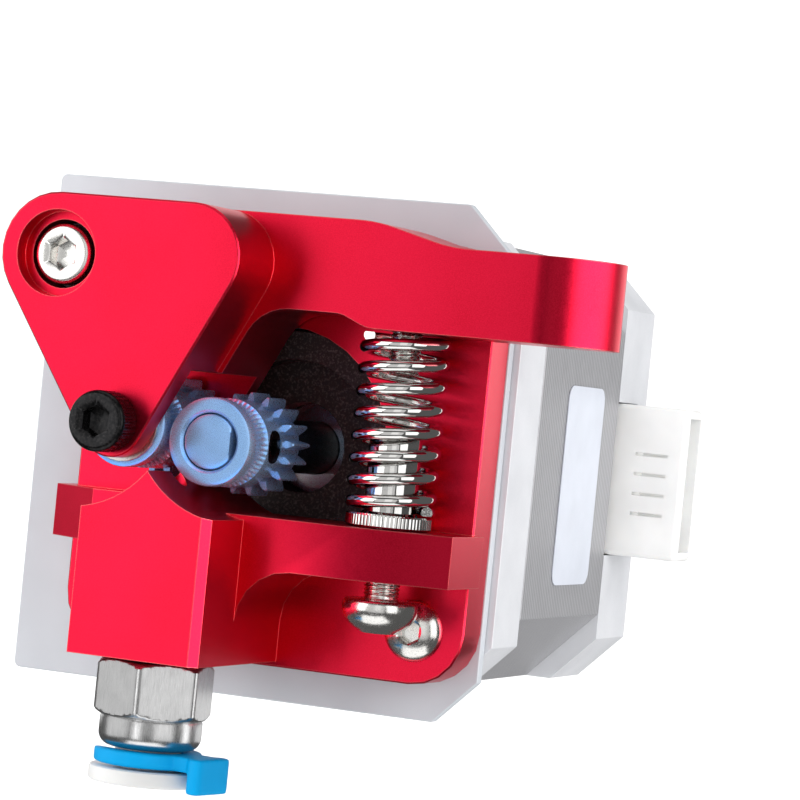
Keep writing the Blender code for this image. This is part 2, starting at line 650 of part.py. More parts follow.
def base_block():
    plate_corners = [(x, z, PLATE_CORNER) for x, z in rectangle(PLATE_X, PLATE_Z)]
    base = prism("base_block", [rounded(plate_corners)], *PLATE_Y, RED, edge=CHAMFER)
    before = PAST - PLATE_Y[0]
    for name, (x, z) in bolt_points().items():
        cut(base, rod("base_hole_" + name, (x, 0, z), M3_HOLE, -PAST, before, RED, facets=16))
    cut(base, rod("window", (0, 0, 0), WINDOW_RADIUS, -PAST, before, RED, facets=FINE))
    rooted = PLATE_Y[0] + OVERLAP

    guide_plan = [(BLOCK_X[0], BLOCK_FRONT), (BLOCK_X[1] - BLOCK_CHAMFER, BLOCK_FRONT),
                  (BLOCK_X[1], BLOCK_FRONT + BLOCK_CHAMFER), (BLOCK_X[1], rooted), (BLOCK_X[0], rooted)]
    guide = prism("guide_block", [guide_plan], BLOCK_BOTTOM, BLOCK_TOP, RED, UPRIGHT)
    for side, sign in (("left", -1), ("right", 1)):
        centre = (PATH_X + sign * SADDLE_OFFSET, 0, SADDLE_Z)
        cut(guide, rod("saddle_" + side, centre, SADDLE_RADIUS, PAST, PAST - BLOCK_FRONT, RED, facets=64))

    low, high = BAR_Z
    inside = BLOCK_X[1] - mm(4.4)
    bar_side = rounded([(inside, high, 0), (inside, low - COVE_RADIUS, 0), (BLOCK_X[1], low - COVE_RADIUS, 0),
                        (BLOCK_X[1], low, COVE_RADIUS * 0.999), (BAR_END, low, 0), (BAR_END, high, 0)])
    bar = prism("spring_bar", [bar_side], BAR_FRONT, rooted, RED)
    slant_x, slant_y = BAR_SLANT
    slope = (slant_y - BAR_FRONT) / (BAR_END - slant_x)
    past = mm(3)
    slant = [(slant_x - past, BAR_FRONT - slope * past), (slant_x - past, BAR_FRONT - past),
             (BAR_END + past, BAR_FRONT - past), (BAR_END + past, slant_y + slope * past)]
    cut(bar, prism("bar_slant", [slant], low - past, high + past, RED, UPRIGHT))

    wing_front, wing_shoulder, wing_rear = WING_Y
    inside, step = BLOCK_X[0] + mm(4.4), PLATE_X[0] + PAST
    wing_plan = [(WING_X[0], wing_rear), (WING_X[0], wing_shoulder), (WING_X[1], wing_front),
                 (inside, wing_front), (inside, rooted), (step, rooted), (step, wing_rear)]
    wing = prism("wing", [wing_plan], *WING_Z, RED, UPRIGHT)

    join(base, guide, bar, wing)
    path = (PATH_X, PATH_Y, 0)
    tap_top = THREAD_TOP + SLIP * 3
    cut(base, rod("guide_bore", path, PATH_RADIUS, tap_top - PAST, BLOCK_TOP + PAST, RED, UPRIGHT, 20),
        rod("fitting_tap", path, THREAD_RADIUS + SLIP * 2, BLOCK_BOTTOM - PAST, tap_top, RED, UPRIGHT),
        rod("adjuster_tap", (SPRING_X, SPRING_Y, 0), ADJUSTER_RADIUS + SLIP * 2, low - PAST, high + PAST,
            RED, UPRIGHT))
    floor = COUNTERSINK_FLOOR
    cone = [(0, before), (M3 + before - floor, before), (M3, floor), (0, floor)]
    cut(base, turned("countersink", cone, (BOLT_X, 0, BOLT_Z), RED))


# ---------------------------------------------------------------- lever

def lever_arm():
    ear_circles = [(PIVOT_X, PIVOT_Z, PIVOT_RADIUS), (IDLER_X, IDLER_Z, IDLER_BOSS_RADIUS), EAR_CORNER]
    lever = prism("lever_arm", [belt(ear_circles)], EAR_FRONT, ARM_Y[1], RED, edge=CHAMFER)

    corner_x, corner_z, corner_radius = EAR_CORNER
    slope = math.atan2(corner_z - IDLER_Z, corner_x - IDLER_X)
    normal = slope - math.acos((IDLER_BOSS_RADIUS - corner_radius)
                               / math.hypot(corner_x - IDLER_X, corner_z - IDLER_Z))
    along = Vector((-math.sin(normal), math.cos(normal)))
    touch = Vector((corner_x, corner_z)) + corner_radius * Vector((math.cos(normal), math.sin(normal)))
    touch += LEG_MARGIN * Vector((math.cos(normal), math.sin(normal)))
    knee = touch + along * ((ARM_BOTTOM - touch.y) / along.y)       # the leg's edge meets the arm's underside
    shin = knee - along * LEG_LENGTH
    inside, end = IDLER_X + OVERLAP, HANDLE_END + PAST
    top_step, bottom_step = mm(14.0, 3.0)
    side = rounded([(inside, ARM_TOP, 0), (inside, shin.y, 0), (shin.x, shin.y, 0),
                    (knee.x, knee.y, LEG_FILLET), (HANDLE_STEP_BOTTOM[0], ARM_BOTTOM, bottom_step),
                    (HANDLE_STEP_BOTTOM[1], HANDLE_Z[0], bottom_step),
                    (end, HANDLE_Z[0], 0), (end, HANDLE_Z[1], 0),
                    (HANDLE_STEP_TOP[1], HANDLE_Z[1], top_step), (HANDLE_STEP_TOP[0], ARM_TOP, top_step)])
    arm = prism("arm", [side], ARM_Y[0] - PAST, ARM_Y[1] + PAST, RED)
    front, rear = ARM_Y
    large, small = HANDLE_ROUND, rear - front - HANDLE_ROUND - mm(0.01)
    plan = rounded([(inside - PAST, front, 0), (HANDLE_END, front, large), (HANDLE_END, rear, small),
                    (inside - PAST, rear, 0)], steps=10)
    combine(arm, prism("arm_plan", [plan], shin.y - PAST, ARM_TOP + PAST, RED, UPRIGHT), "INTERSECT")
    join(lever, arm)

    reach = mm(12.0)
    cut(lever, block("clevis_slot", (IDLER_X - reach, IDLER_X + reach), SLOT_Y,
                     (IDLER_Z - reach, SLOT_TOP), RED))
    pivot, axle, path = (PIVOT_X, 0, PIVOT_Z), (IDLER_X, 0, IDLER_Z), (PATH_X, PATH_Y, 0)
    front, rear = PAST - EAR_FRONT, -ARM_Y[1] - PAST
    cut(lever, rod("counterbore", pivot, COUNTERBORE[0], -EAR_FRONT - COUNTERBORE[1], front, RED, facets=40),
        rod("pivot_bore", pivot, PIVOT_BORE, rear, front - COUNTERBORE[1], RED, facets=40),
        rod("axle_bore", axle, M3_HOLE, rear, front, RED),
        rod("lever_filament_bore", path, LEVER_FILAMENT_BORE, SLOT_TOP - PAST, ARM_TOP + PAST,
            RED, UPRIGHT, 20),
        rod("stud_tap", (SPRING_X, SPRING_Y, 0), M3_HOLE, HANDLE_Z[0] - PAST, STUD_Z[1] + SLIP * 3,
            RED, UPRIGHT, 20))
    funnel = [(0, ARM_TOP + OVERLAP), (FUNNEL_RADIUS + OVERLAP, ARM_TOP + OVERLAP),
              (LEVER_FILAMENT_BORE - SLIP * 2, ARM_TOP - PAST), (0, ARM_TOP - PAST)]
    cut(lever, turned("funnel", funnel, path, RED, UPRIGHT, 24))


# ---------------------------------------------------------------- fasteners

def socket_screw(name, x, z, head, key, head_front, tip, finish, domed=False):
    """An M3 screw put in from the front: head_front and tip are its end planes on Y."""
    radius, height = head
    seat = head_front + height
    soft = mm(0.3)
    if domed:
        turns = [math.radians(angle) for angle in (30, 50, 70, 90)]
        dome = [(radius * math.sin(turn), -seat + height * math.cos(turn)) for turn in turns]
        crown = [(0, dome[0][1]), *dome]
    else:
        crown = [(0, -head_front), (radius - soft, -head_front), (radius, -head_front - soft),
                 (radius, -seat)]
    profile = [*crown, (M3, -seat), (M3, -tip + soft), (M3 - soft, -tip), (0, -tip)]
    screw = turned(name, profile, (x, 0, z), finish)
    smooth(screw)
    key_floor = -crown[0][1] + height * 0.5
    cut(screw, rod(name + "_key", (x, 0, z), key / math.sqrt(3.0), -key_floor, -head_front + PAST,
                   finish, facets=6))


def base_screws():
    plate_front = PLATE_Y[0] - SEAT
    for name, x in (("base_screw_lower_right", BOLT_X), ("base_screw_lower_left", -BOLT_X)):
        socket_screw(name, x, -BOLT_Z, BUTTON_HEAD, BUTTON_KEY, plate_front - BUTTON_HEAD[1],
                     SCREW_END_Y, CHROME, domed=True)
    rim, top, neck = COUNTERSUNK
    soft, key_depth = mm(0.3, 1.1)
    flat = [(0, top), (rim, top), (rim, top - soft), (M3, neck), (M3, -SCREW_END_Y + soft),
            (M3 - soft, -SCREW_END_Y), (0, -SCREW_END_Y)]
    screw = turned("base_screw_upper_right", flat, (BOLT_X, 0, BOLT_Z), STEEL)
    smooth(screw)
    cut(screw, rod("flat_key", (BOLT_X, 0, BOLT_Z), BUTTON_KEY / math.sqrt(3.0), top - key_depth, top + PAST,
                   STEEL, facets=6))


def pivot():
    socket_screw("pivot_screw", PIVOT_X, PIVOT_Z, CAP_HEAD, CAP_KEY, PIVOT_HEAD_FRONT, SCREW_END_Y, CHROME)
    under_head = -(PIVOT_HEAD_FRONT + CAP_HEAD[1]) - SEAT
    smooth(ring("pivot_sleeve", (PIVOT_X, 0, PIVOT_Z), PIVOT_BORE - SLIP, M3 + SLIP,
                -PLATE_Y[0] + SEAT, under_head, DARK_STEEL))


def idler_axle():
    socket_screw("idler_axle", IDLER_X, IDLER_Z, CAP_HEAD, CAP_KEY, AXLE_HEAD_FRONT,
                 ARM_Y[1] - SEAT, BLACK_OXIDE)
    play = SEAT / 2.0
    for name, low, high in (("washer_front", -GEAR_Y[0] + play, -SLOT_Y[0] - play),
                            ("washer_rear", -SLOT_Y[1] + play, -GEAR_Y[1] - play)):
        smooth(ring(name, (IDLER_X, 0, IDLER_Z), WASHER_RADIUS, M3 + SLIP, low, high, STEEL))


# ---------------------------------------------------------------- spring and adjuster

def spring():
    """A round-wire compression spring, close-wound at both ends."""
    low, high = SPRING_Z[0] + WIRE_RADIUS, SPRING_Z[1] - WIRE_RADIUS
    closed_rise = CLOSED_PITCH * SPRING_CLOSED_TURNS
    per_turn = 16
    count = round(SPRING_TURNS * per_turn)
    curve = bpy.data.curves.new("spring", "CURVE")
    curve.dimensions = "3D"
    curve.bevel_depth = WIRE_RADIUS
    curve.bevel_resolution = 1
    curve.use_fill_caps = True
    coil = curve.splines.new("POLY")
    coil.points.add(count)
    for index in range(count + 1):
        turns = index / per_turn
        middle_share = (turns - SPRING_CLOSED_TURNS) / (SPRING_TURNS - 2.0 * SPRING_CLOSED_TURNS)
        if middle_share < 0.0:
            height = low + closed_rise * turns / SPRING_CLOSED_TURNS
        elif middle_share > 1.0:
            height = high - closed_rise * (SPRING_TURNS - turns) / SPRING_CLOSED_TURNS
        else:
            height = low + closed_rise + (high - low - 2.0 * closed_rise) * middle_share
        turn = math.tau * turns
        coil.points[index].co = (SPRING_RADIUS * math.cos(turn), SPRING_RADIUS * math.sin(turn), height, 1.0)
    made = as_mesh(add_object("spring", curve, CHROME, Matrix.Translation((SPRING_X, SPRING_Y, 0))))
    smooth(made)


def adjuster():
    axis = (SPRING_X, SPRING_Y, 0)
    flange, low, high = SEAT_FLANGE
    post, top = SEAT_POST
    socket, roof = SEAT_SOCKET
    soft = mm(0.4)
    profile = [(0, top), (post - soft, top), (post, top - soft), (post, high), (flange, high), (flange, low),
               (socket, low), (socket, roof), (0, roof)]
    smooth(turned("spring_seat", profile, axis, CHROME, UPRIGHT))

    low, high = STUD_Z
    profile = [(0, high), (M3, high), (M3, low + soft), (M3 - soft, low), (0, low)]
    stud = turned("spring_stud", profile, axis, CHROME, UPRIGHT, 24)
    smooth(stud)
    cut(stud, rod("stud_key", axis, GRUB_KEY, low - PAST, low + GRUB_KEY_DEPTH, CHROME, UPRIGHT, 6))

    head, seat, bottom = ADJUSTER_HEAD
    rim, key_depth = mm(0.6, 1.8)
    height = seat - bottom - rim
    crown = [(head * math.cos(turn), seat - rim - height * math.sin(turn))
             for turn in (math.radians(a) for a in (0, 20, 40, 60, 75))]
    radius, top = ADJUSTER_RADIUS, ADJUSTER_TOP
    profile = [(0, top), (radius - soft, top), (radius, top - soft), (radius, seat), (head, seat), *crown,
               (0, crown[-1][1])]
    screw = turned("tension_screw", profile, axis, CHROME, UPRIGHT)
    smooth(screw)
    cut(screw, rod("tension_key", axis, ADJUSTER_KEY / math.sqrt(3.0), bottom - PAST, bottom + key_depth,
                   CHROME, UPRIGHT, 6))


# ---------------------------------------------------------------- push fitting

def fitting():
    axis = (PATH_X, PATH_Y, 0)
    skirt, bottom = SKIRT
    low, high = HEX_Z
    bore, bore_top = FITTING_BORE
    soft = mm(0.9)
    inner, outer = HEX_CROWN
    turned_hex = Matrix.Rotation(HEX_TURN, 4, "Z")
    body = rod("fitting_body", axis, HEX_FLATS / math.sqrt(3.0), low, high, CHROME, turned_hex, 6)
    crown = [(0, high + PAST), (inner, high + PAST), (inner, high), (outer, high - PAST),
             (outer, low + PAST), (inner, low), (inner, low - PAST), (0, low - PAST)]
    combine(body, turned("hex_corners", crown, axis, CHROME, UPRIGHT, FINE), "INTERSECT")
    skirt_profile = [(0, low + PAST), (skirt, low + PAST), (skirt, bottom + soft), (skirt - soft, bottom),
                     (0, bottom)]
    join(body, turned("skirt", skirt_profile, axis, CHROME, UPRIGHT, FINE),
         rod("thread", axis, THREAD_RADIUS, high - PAST, THREAD_TOP, CHROME, UPRIGHT))
    cut(body, rod("collet_bore", axis, bore, bottom - PAST, bore_top, CHROME, UPRIGHT),
        rod("tube_bore", axis, TUBE_RADIUS, bore_top - PAST, TUBE_STOP, CHROME, UPRIGHT),
        rod("filament_exit", axis, PATH_RADIUS, TUBE_STOP - PAST, THREAD_TOP + PAST, CHROME, UPRIGHT, 20))

    middle, level, thick = SEAL
    seal = [(middle + thick * math.cos(turn), level - thick * math.sin(turn))
            for turn in (math.tau * step / 8 for step in range(8))]
    smooth(turned("o_ring", seal, axis, RUBBER, UPRIGHT, 16, closed=True))
    outer, inner, low, high = GRIP_RING
    ring("grip_ring", axis, outer, inner, low, high, STEEL, UPRIGHT)

    flange, low, high = COLLET_FLANGE
    sleeve, top = COLLET_SLEEVE
    soft = mm(0.4)
    profile = [(TUBE_RADIUS, top), (sleeve, top), (sleeve, high), (flange - soft, high),
               (flange, high - soft), (flange, low + soft), (flange - soft, low), (TUBE_RADIUS + soft, low),
               (TUBE_RADIUS, low + soft)]
    smooth(turned("collet", profile, axis, WHITE_PLASTIC, UPRIGHT, closed=True))


def collet_clip():
    """A horseshoe clip: its slot opens away from the tab, so it pulls off along the tab."""
    low, high = CLIP_Z
    half_gap = math.asin(CLIP_SLOT / CLIP_RADIUS)
    half_neck = math.asin(CLIP_NECK_HALF / CLIP_RADIUS)
    neck_end = CLIP_TAB_X[0] + OVERLAP
    outline = [*arc((0, 0), CLIP_RADIUS, math.pi + half_gap, math.tau - half_neck, 14),
               (neck_end, -CLIP_NECK_HALF), (neck_end, CLIP_NECK_HALF),
               *arc((0, 0), CLIP_RADIUS, half_neck, math.pi - half_gap, 14),
               *arc((0, 0), CLIP_SLOT, math.pi / 2.0, -math.pi / 2.0, 14)]
    clip = prism("collet_clip", [outline], low, high, BLUE_PLASTIC, UPRIGHT)
    corners = [(x, y, CLIP_TAB_CORNER) for x, y in rectangle(CLIP_TAB_X, (-CLIP_TAB_HALF, CLIP_TAB_HALF))]
    tab = prism("clip_tab", [rounded(corners, 3)], *CLIP_TAB_Z, BLUE_PLASTIC, UPRIGHT)
    place = Matrix.Translation((PATH_X, PATH_Y, 0)) @ Matrix.Rotation(CLIP_TURN, 4, "Z")
    for piece in (clip, tab):
        piece.matrix_world = place @ piece.matrix_world
    join(clip, tab)


# ---------------------------------------------------------------- assembly

BODIES = {
    "rotor": ((0, 0, 0), ("motor_shaft", "rotor_core_front", "rotor_magnet", "rotor_core_rear",
                          "drive_gear", "grub_screw")),
    "lever": ((PIVOT_X, 0, PIVOT_Z), ("lever_arm", "spring_stud", "idler_axle",
                                      "washer_front", "washer_rear")),
    "idler": ((IDLER_X, 0, IDLER_Z), ("idler_gear", "needle_bearing_front", "needle_bearing_rear")),
    "seat": ((SPRING_X, SPRING_Y, 0), ("spring_seat", "spring")),
    "adjuster": ((SPRING_X, SPRING_Y, 0), ("tension_screw",)),
    "clip": ((PATH_X, PATH_Y, 0), ("collet_clip",)),
    "collet": ((PATH_X, PATH_Y, 0), ("collet",)),
}


def gather_bodies():
    """Parent the pieces of each moving body to an empty on the axis of its joint."""
    bpy.context.view_layer.update()
    for body, (centre, names) in BODIES.items():
        axis = bpy.data.objects.new(body + "_axis", None)
        axis.empty_display_size = mm(5)
        axis.location = centre
        PARTS.objects.link(axis)
        bpy.context.view_layer.update()
        for name in names:
            piece = PARTS.objects[name]
            piece.parent = axis
            piece.matrix_parent_inverse = axis.matrix_world.inverted()


def place_origin():
    """Shift everything back to front, so that the motor's rear face lies in the plane Y = 0."""
    for piece in [*PARTS.objects, *CUTTERS.objects]:
        if piece.parent is None:
            piece.location.y -= REAR_CAP_Y[1]


def main():
    mounting_sheet()
    motor_front_cap()
    stator_stack()
    end_windings()
    motor_rear_cap()
    motor_bolts()
    bearings()
    motor_connector()
    motor_label()
    rotor()
    drive_gear()
    idler()
    base_block()
    lever_arm()
    base_screws()
    pivot()
    idler_axle()
    spring()
    adjuster()
    fitting()
    collet_clip()
    gather_bodies()
    place_origin()


main()
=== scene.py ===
"""Looks for the lever extruder: finished surfaces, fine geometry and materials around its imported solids."""

import json
import math

import bmesh
import bpy
from mathutils import Matrix, Vector

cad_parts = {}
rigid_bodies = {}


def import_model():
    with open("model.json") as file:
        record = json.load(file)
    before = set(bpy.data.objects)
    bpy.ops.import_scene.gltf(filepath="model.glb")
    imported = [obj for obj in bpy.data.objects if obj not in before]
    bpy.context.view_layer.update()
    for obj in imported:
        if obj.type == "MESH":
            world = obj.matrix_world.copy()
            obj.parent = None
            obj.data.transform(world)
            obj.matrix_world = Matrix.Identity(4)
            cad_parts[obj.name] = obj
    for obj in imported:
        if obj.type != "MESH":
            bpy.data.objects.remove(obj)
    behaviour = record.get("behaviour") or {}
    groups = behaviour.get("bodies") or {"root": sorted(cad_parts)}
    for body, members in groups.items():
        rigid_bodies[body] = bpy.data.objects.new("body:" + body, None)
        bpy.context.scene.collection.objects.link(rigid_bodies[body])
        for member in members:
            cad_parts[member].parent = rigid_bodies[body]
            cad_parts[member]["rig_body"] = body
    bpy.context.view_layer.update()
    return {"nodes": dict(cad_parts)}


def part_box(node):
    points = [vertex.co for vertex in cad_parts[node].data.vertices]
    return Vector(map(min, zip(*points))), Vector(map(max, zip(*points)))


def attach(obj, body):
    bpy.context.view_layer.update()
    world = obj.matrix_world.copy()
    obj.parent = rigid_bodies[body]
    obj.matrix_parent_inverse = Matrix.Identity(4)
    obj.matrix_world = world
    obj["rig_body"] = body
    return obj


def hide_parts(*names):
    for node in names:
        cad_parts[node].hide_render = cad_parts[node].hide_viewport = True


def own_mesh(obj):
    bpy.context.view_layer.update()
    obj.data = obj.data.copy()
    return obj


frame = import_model()


def mm(*values):
    """Millimetres to metres: one number, or a tuple of them."""
    scaled = tuple(0.001 * value for value in values)
    return scaled[0] if len(scaled) == 1 else scaled


def middle(node):
    """The centre of a CAD node's box."""
    low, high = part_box(node)
    return (low + high) / 2.0


# ---------------------------------------------------------------- places, all read from the frame

PLATE_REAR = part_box("base_block")[1].y              # where the base meets the sheet
GEAR_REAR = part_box("drive_gear")[1].y               # the shaft is painted dark behind this, a painted shade
IDLER = middle("idler_gear")
COLLET = middle("collet")


# ---------------------------------------------------------------- material nodes

class Nodes:
    """A new material's node tree, with short calls for the few node kinds used here."""

    MIX_COLOURS = (6, 7)                # a Mix node's colour inputs, and its colour output
    MIX_RESULT = 2

    def __init__(self, name, colour, metallic, roughness):
        self.material = bpy.data.materials.new(name)
        self.material.use_nodes = True
        self.tree = self.material.node_tree
        self.shader = self.tree.nodes["Principled BSDF"]
        self.set("Base Color", (*colour, 1.0))
        self.set("Metallic", metallic)
        self.set("Roughness", roughness)
        self.place = self.add("ShaderNodeTexCoord").outputs["Object"]

    def add(self, kind, **settings):
        node = self.tree.nodes.new(kind)
        for key, value in settings.items():
            setattr(node, key, value)
        return node

    def wire(self, source, target):
        self.tree.links.new(source, target)

    def set(self, name, value):
        self.shader.inputs[name].default_value = value

    def stretched(self, scale, centre=(0.0, 0.0, 0.0)):
        """Object coordinates about a centre, scaled on each axis."""
        node = self.add("ShaderNodeMapping")
        self.wire(self.place, node.inputs["Vector"])
        node.inputs["Location"].default_value = [-c * s for c, s in zip(centre, scale)]
        node.inputs["Scale"].default_value = scale
        return node.outputs["Vector"]

    def noise(self, grain, detail=2.0, vector=None, rough=0.5):
        """Noise whose features are about grain metres across."""
        node = self.add("ShaderNodeTexNoise")
        self.wire(vector or self.place, node.inputs["Vector"])
        node.inputs["Scale"].default_value = 1.0 / grain
        node.inputs["Detail"].default_value = detail
        node.inputs["Roughness"].default_value = rough
        return node.outputs["Fac"]

    def span(self, value, low, high, start=0.3, end=0.7):
        """Map a value from start..end to low..high."""
        node = self.add("ShaderNodeMapRange")
        self.wire(value, node.inputs["Value"])
        node.inputs["From Min"].default_value = start
        node.inputs["From Max"].default_value = end
        node.inputs["To Min"].default_value = low
        node.inputs["To Max"].default_value = high
        return node.outputs["Result"]

    def math(self, operation, first, second=0.0):
        node = self.add("ShaderNodeMath", operation=operation)
        for socket, value in zip(node.inputs, (first, second)):
            if isinstance(value, float):
                socket.default_value = value
            else:
                self.wire(value, socket)
        return node.outputs["Value"]

    def mix(self, factor, first, second):
        """Blend two colours by a value."""
        node = self.add("ShaderNodeMix", data_type="RGBA")
        self.wire(factor, node.inputs["Factor"])
        for index, colour in zip(self.MIX_COLOURS, (first, second)):
            if isinstance(colour, tuple):
                node.inputs[index].default_value = (*colour, 1.0)
            else:
                self.wire(colour, node.inputs[index])
        return node.outputs[self.MIX_RESULT]

    def colour(self, socket):
        self.wire(socket, self.shader.inputs["Base Color"])

    def roughness(self, socket):
        self.wire(socket, self.shader.inputs["Roughness"])

    def bump(self, *layers):
        """Bump from (height, depth in metres, strength) layers, one on another."""
        normal = None
        for height, depth, strength in layers:
            node = self.add("ShaderNodeBump")
            node.inputs["Strength"].default_value = strength
            node.inputs["Distance"].default_value = depth
            self.wire(height, node.inputs["Height"])
            if normal:
                self.wire(normal, node.inputs["Normal"])
            normal = node.outputs["Normal"]
        self.wire(normal, self.shader.inputs["Normal"])

    def edge(self, radius):
        """About 0 on flats, rising to 1 on the edges."""
        soft = self.add("ShaderNodeBevel", samples=4)
        soft.inputs["Radius"].default_value = radius
        flat = self.add("ShaderNodeNewGeometry")
        dot = self.add("ShaderNodeVectorMath", operation="DOT_PRODUCT")
        self.wire(soft.outputs["Normal"], dot.inputs[0])
        self.wire(flat.outputs["Normal"], dot.inputs[1])
        return self.span(dot.outputs["Value"], 1.0, 0.0, 0.80, 0.995)


# ---------------------------------------------------------------- materials

def red_anodised():
    """Bead-blasted, dyed aluminium: a fine grain, uneven dye, a painted highlight that turns the edges paler,
    and a thin clear seal.
    """
    made = Nodes("red_anodised_aluminium", (0.85, 0.003, 0.04), 1.0, 0.36)
    tone = made.noise(mm(9.0), 2.0)
    dye = made.mix(made.span(tone, 0.0, 1.0), (0.80, 0.002, 0.032), (0.90, 0.004, 0.046))
    grain = made.noise(mm(0.11), 2.0)
    speck = made.mix(made.span(grain, 0.0, 1.0, 0.35, 0.75), dye, (0.95, 0.012, 0.060))
    # painted highlight: a pale pink is painted along the edges
    edge_highlight = made.mix(made.math("MULTIPLY", made.edge(mm(0.16)), 0.70), speck, (1.0, 0.36, 0.32))
    made.colour(edge_highlight)
    made.roughness(made.span(grain, 0.30, 0.42))
    made.bump((grain, mm(0.012), 0.35))
    made.set("Coat Weight", 0.20)
    made.set("Coat Roughness", 0.30)
    return made.material


def machined_steel(name, colour, roughness, lay, metallic=1.0, painted_shade_from=None):
    """Bright cut metal, with fine tool marks drawn out along one axis, painted dark behind a plane across Y
    as painted shade.
    """
    made = Nodes(name, colour, metallic, roughness)
    marks = made.noise(mm(0.05), 3.0, made.stretched(lay))
    broad = made.noise(mm(1.5), 2.0)
    bright = made.mix(made.span(broad, 0.0, 1.0), tuple(0.90 * c for c in colour), colour)
    if painted_shade_from is not None:
        # painted shade: behind the plane the colour is painted near black
        split = made.add("ShaderNodeSeparateXYZ")
        made.wire(made.place, split.inputs["Vector"])
        behind = made.math("GREATER_THAN", split.outputs["Y"], painted_shade_from)
        bright = made.mix(behind, bright, tuple(0.05 * c for c in colour))
    made.colour(bright)
    made.roughness(made.span(marks, roughness * 0.75, roughness * 1.5))
    made.bump((marks, mm(0.006), 0.12))
    return made.material


def plated(name, colour, roughness, painted_hollow_shade=0.0):
    """Polished plating with a faint ripple and a few dull spots, with painted shade darkening its hollows."""
    made = Nodes(name, colour, 1.0, roughness)
    if painted_hollow_shade:
        # painted shade: ambient occlusion darkens the colour in hollows and creases
        hollow = made.add("ShaderNodeAmbientOcclusion", samples=4)
        hollow.inputs["Distance"].default_value = mm(1.2)
        shaded = tuple((1.0 - painted_hollow_shade) * c for c in colour)
        made.colour(made.mix(made.span(hollow.outputs["AO"], 0.0, 1.0, 0.25, 0.62), shaded, colour))
    ripple = made.noise(mm(0.6), 2.0)
    spots = made.noise(mm(0.16), 3.0)
    made.roughness(made.span(spots, roughness * 0.8, roughness * 1.8, 0.45, 0.80))
    made.bump((ripple, mm(0.010), 0.08), (spots, mm(0.003), 0.06))
    return made.material


def black_oxide():
    """Blackened steel with a thin, uneven film of oil."""
    made = Nodes("black_oxide_steel", (0.016, 0.016, 0.018), 0.75, 0.34)
    film = made.noise(mm(0.25), 4.0)
    black, oiled = (0.006, 0.006, 0.007), (0.030, 0.028, 0.028)
    made.colour(made.mix(made.span(film, 0.0, 1.0, 0.4, 0.8), black, oiled))
    made.roughness(made.span(film, 0.14, 0.30))
    rubbed = made.noise(mm(0.08), 2.0)
    made.bump((rubbed, mm(0.008), 0.10))
    return made.material


def cast_aluminium(name, boss_radius=0.0):
    """Pale die-cast metal; within boss_radius of the shaft's axis it is dark and pitted."""
    made = Nodes(name, (0.76, 0.77, 0.80), 0.20, 0.42)
    fine = made.noise(mm(0.22), 4.0)
    cloud = made.noise(mm(7.0), 3.0)
    tone = made.mix(made.span(cloud, 0.0, 1.0), (0.68, 0.69, 0.72), (0.78, 0.79, 0.82))
    if boss_radius:
        flat = made.add("ShaderNodeVectorMath", operation="MULTIPLY")
        made.wire(made.place, flat.inputs[0])
        flat.inputs[1].default_value = (1.0, 0.0, 1.0)
        length = made.add("ShaderNodeVectorMath", operation="LENGTH")
        made.wire(flat.outputs["Vector"], length.inputs[0])
        inside = made.math("LESS_THAN", length.outputs["Value"], boss_radius)
        pits = made.span(made.noise(mm(0.20), 3.0), 0.0, 1.0, 0.50, 0.72)
        dark = made.mix(pits, (0.050, 0.033, 0.033), (0.20, 0.155, 0.15))
        tone = made.mix(inside, tone, dark)
    made.colour(tone)
    made.roughness(made.span(fine, 0.34, 0.56))
    made.bump((fine, mm(0.020), 0.35))
    return made.material


def coated_sheet():
    """Smooth pale grey coating with a slight mottle."""
    made = Nodes("pale_coated_sheet", (0.58, 0.60, 0.64), 0.10, 0.42)
    mottle = made.noise(mm(0.5), 3.0)
    cloud = made.noise(mm(12.0), 2.0)
    made.colour(made.mix(made.span(cloud, 0.0, 1.0), (0.55, 0.58, 0.62), (0.63, 0.66, 0.70)))
    made.roughness(made.span(mottle, 0.36, 0.50))
    made.bump((mottle, mm(0.010), 0.15))
    return made.material


def laminated_steel():
    """Half-millimetre steel sheets, stacked along Y."""
    made = Nodes("laminated_steel", (0.46, 0.46, 0.48), 0.35, 0.42)
    sheet = mm(0.5)
    one_band = 0.314                        # the wave texture's scale for one band in a metre
    bands = made.add("ShaderNodeTexWave", wave_type="BANDS", bands_direction="Y")
    made.wire(made.place, bands.inputs["Vector"])
    bands.inputs["Scale"].default_value = one_band / sheet
    bands.inputs["Distortion"].default_value = 0.15
    bands.inputs["Detail"].default_value = 1.0
    wave = bands.outputs["Fac"]
    streak = made.noise(mm(0.3), 3.0, made.stretched((1.0, 6.0, 0.3)))
    lines = made.mix(made.span(wave, 0.0, 1.0, 0.1, 0.6), (0.27, 0.27, 0.28), (0.46, 0.46, 0.48))
    streaked = made.math("MULTIPLY", made.span(streak, 0.0, 1.0), 0.35)
    made.colour(made.mix(streaked, lines, (0.55, 0.55, 0.57)))
    made.roughness(made.span(streak, 0.34, 0.54))
    made.bump((wave, mm(0.05), 0.6), (streak, mm(0.01), 0.2))
    return made.material


def moulded(name, colour, roughness, glow=0.0, shine=0.3):
    """Injection-moulded plastic with a fine grain and slight unevenness of tone."""
    made = Nodes(name, colour, 0.0, roughness)
    fine = made.noise(mm(0.12), 3.0)
    cloud = made.noise(mm(4.0), 2.0)
    made.colour(made.mix(made.span(cloud, 0.0, 1.0), tuple(0.92 * c for c in colour), colour))
    made.roughness(made.span(fine, roughness * 0.85, roughness * 1.25))
    made.bump((fine, mm(0.006), 0.20), (cloud, mm(0.02), 0.10))
    made.set("Specular IOR Level", shine)
    made.set("Subsurface Weight", glow)
    made.set("Subsurface Radius", (0.6, 0.8, 1.0))
    made.set("Subsurface Scale", mm(0.8))
    return made.material


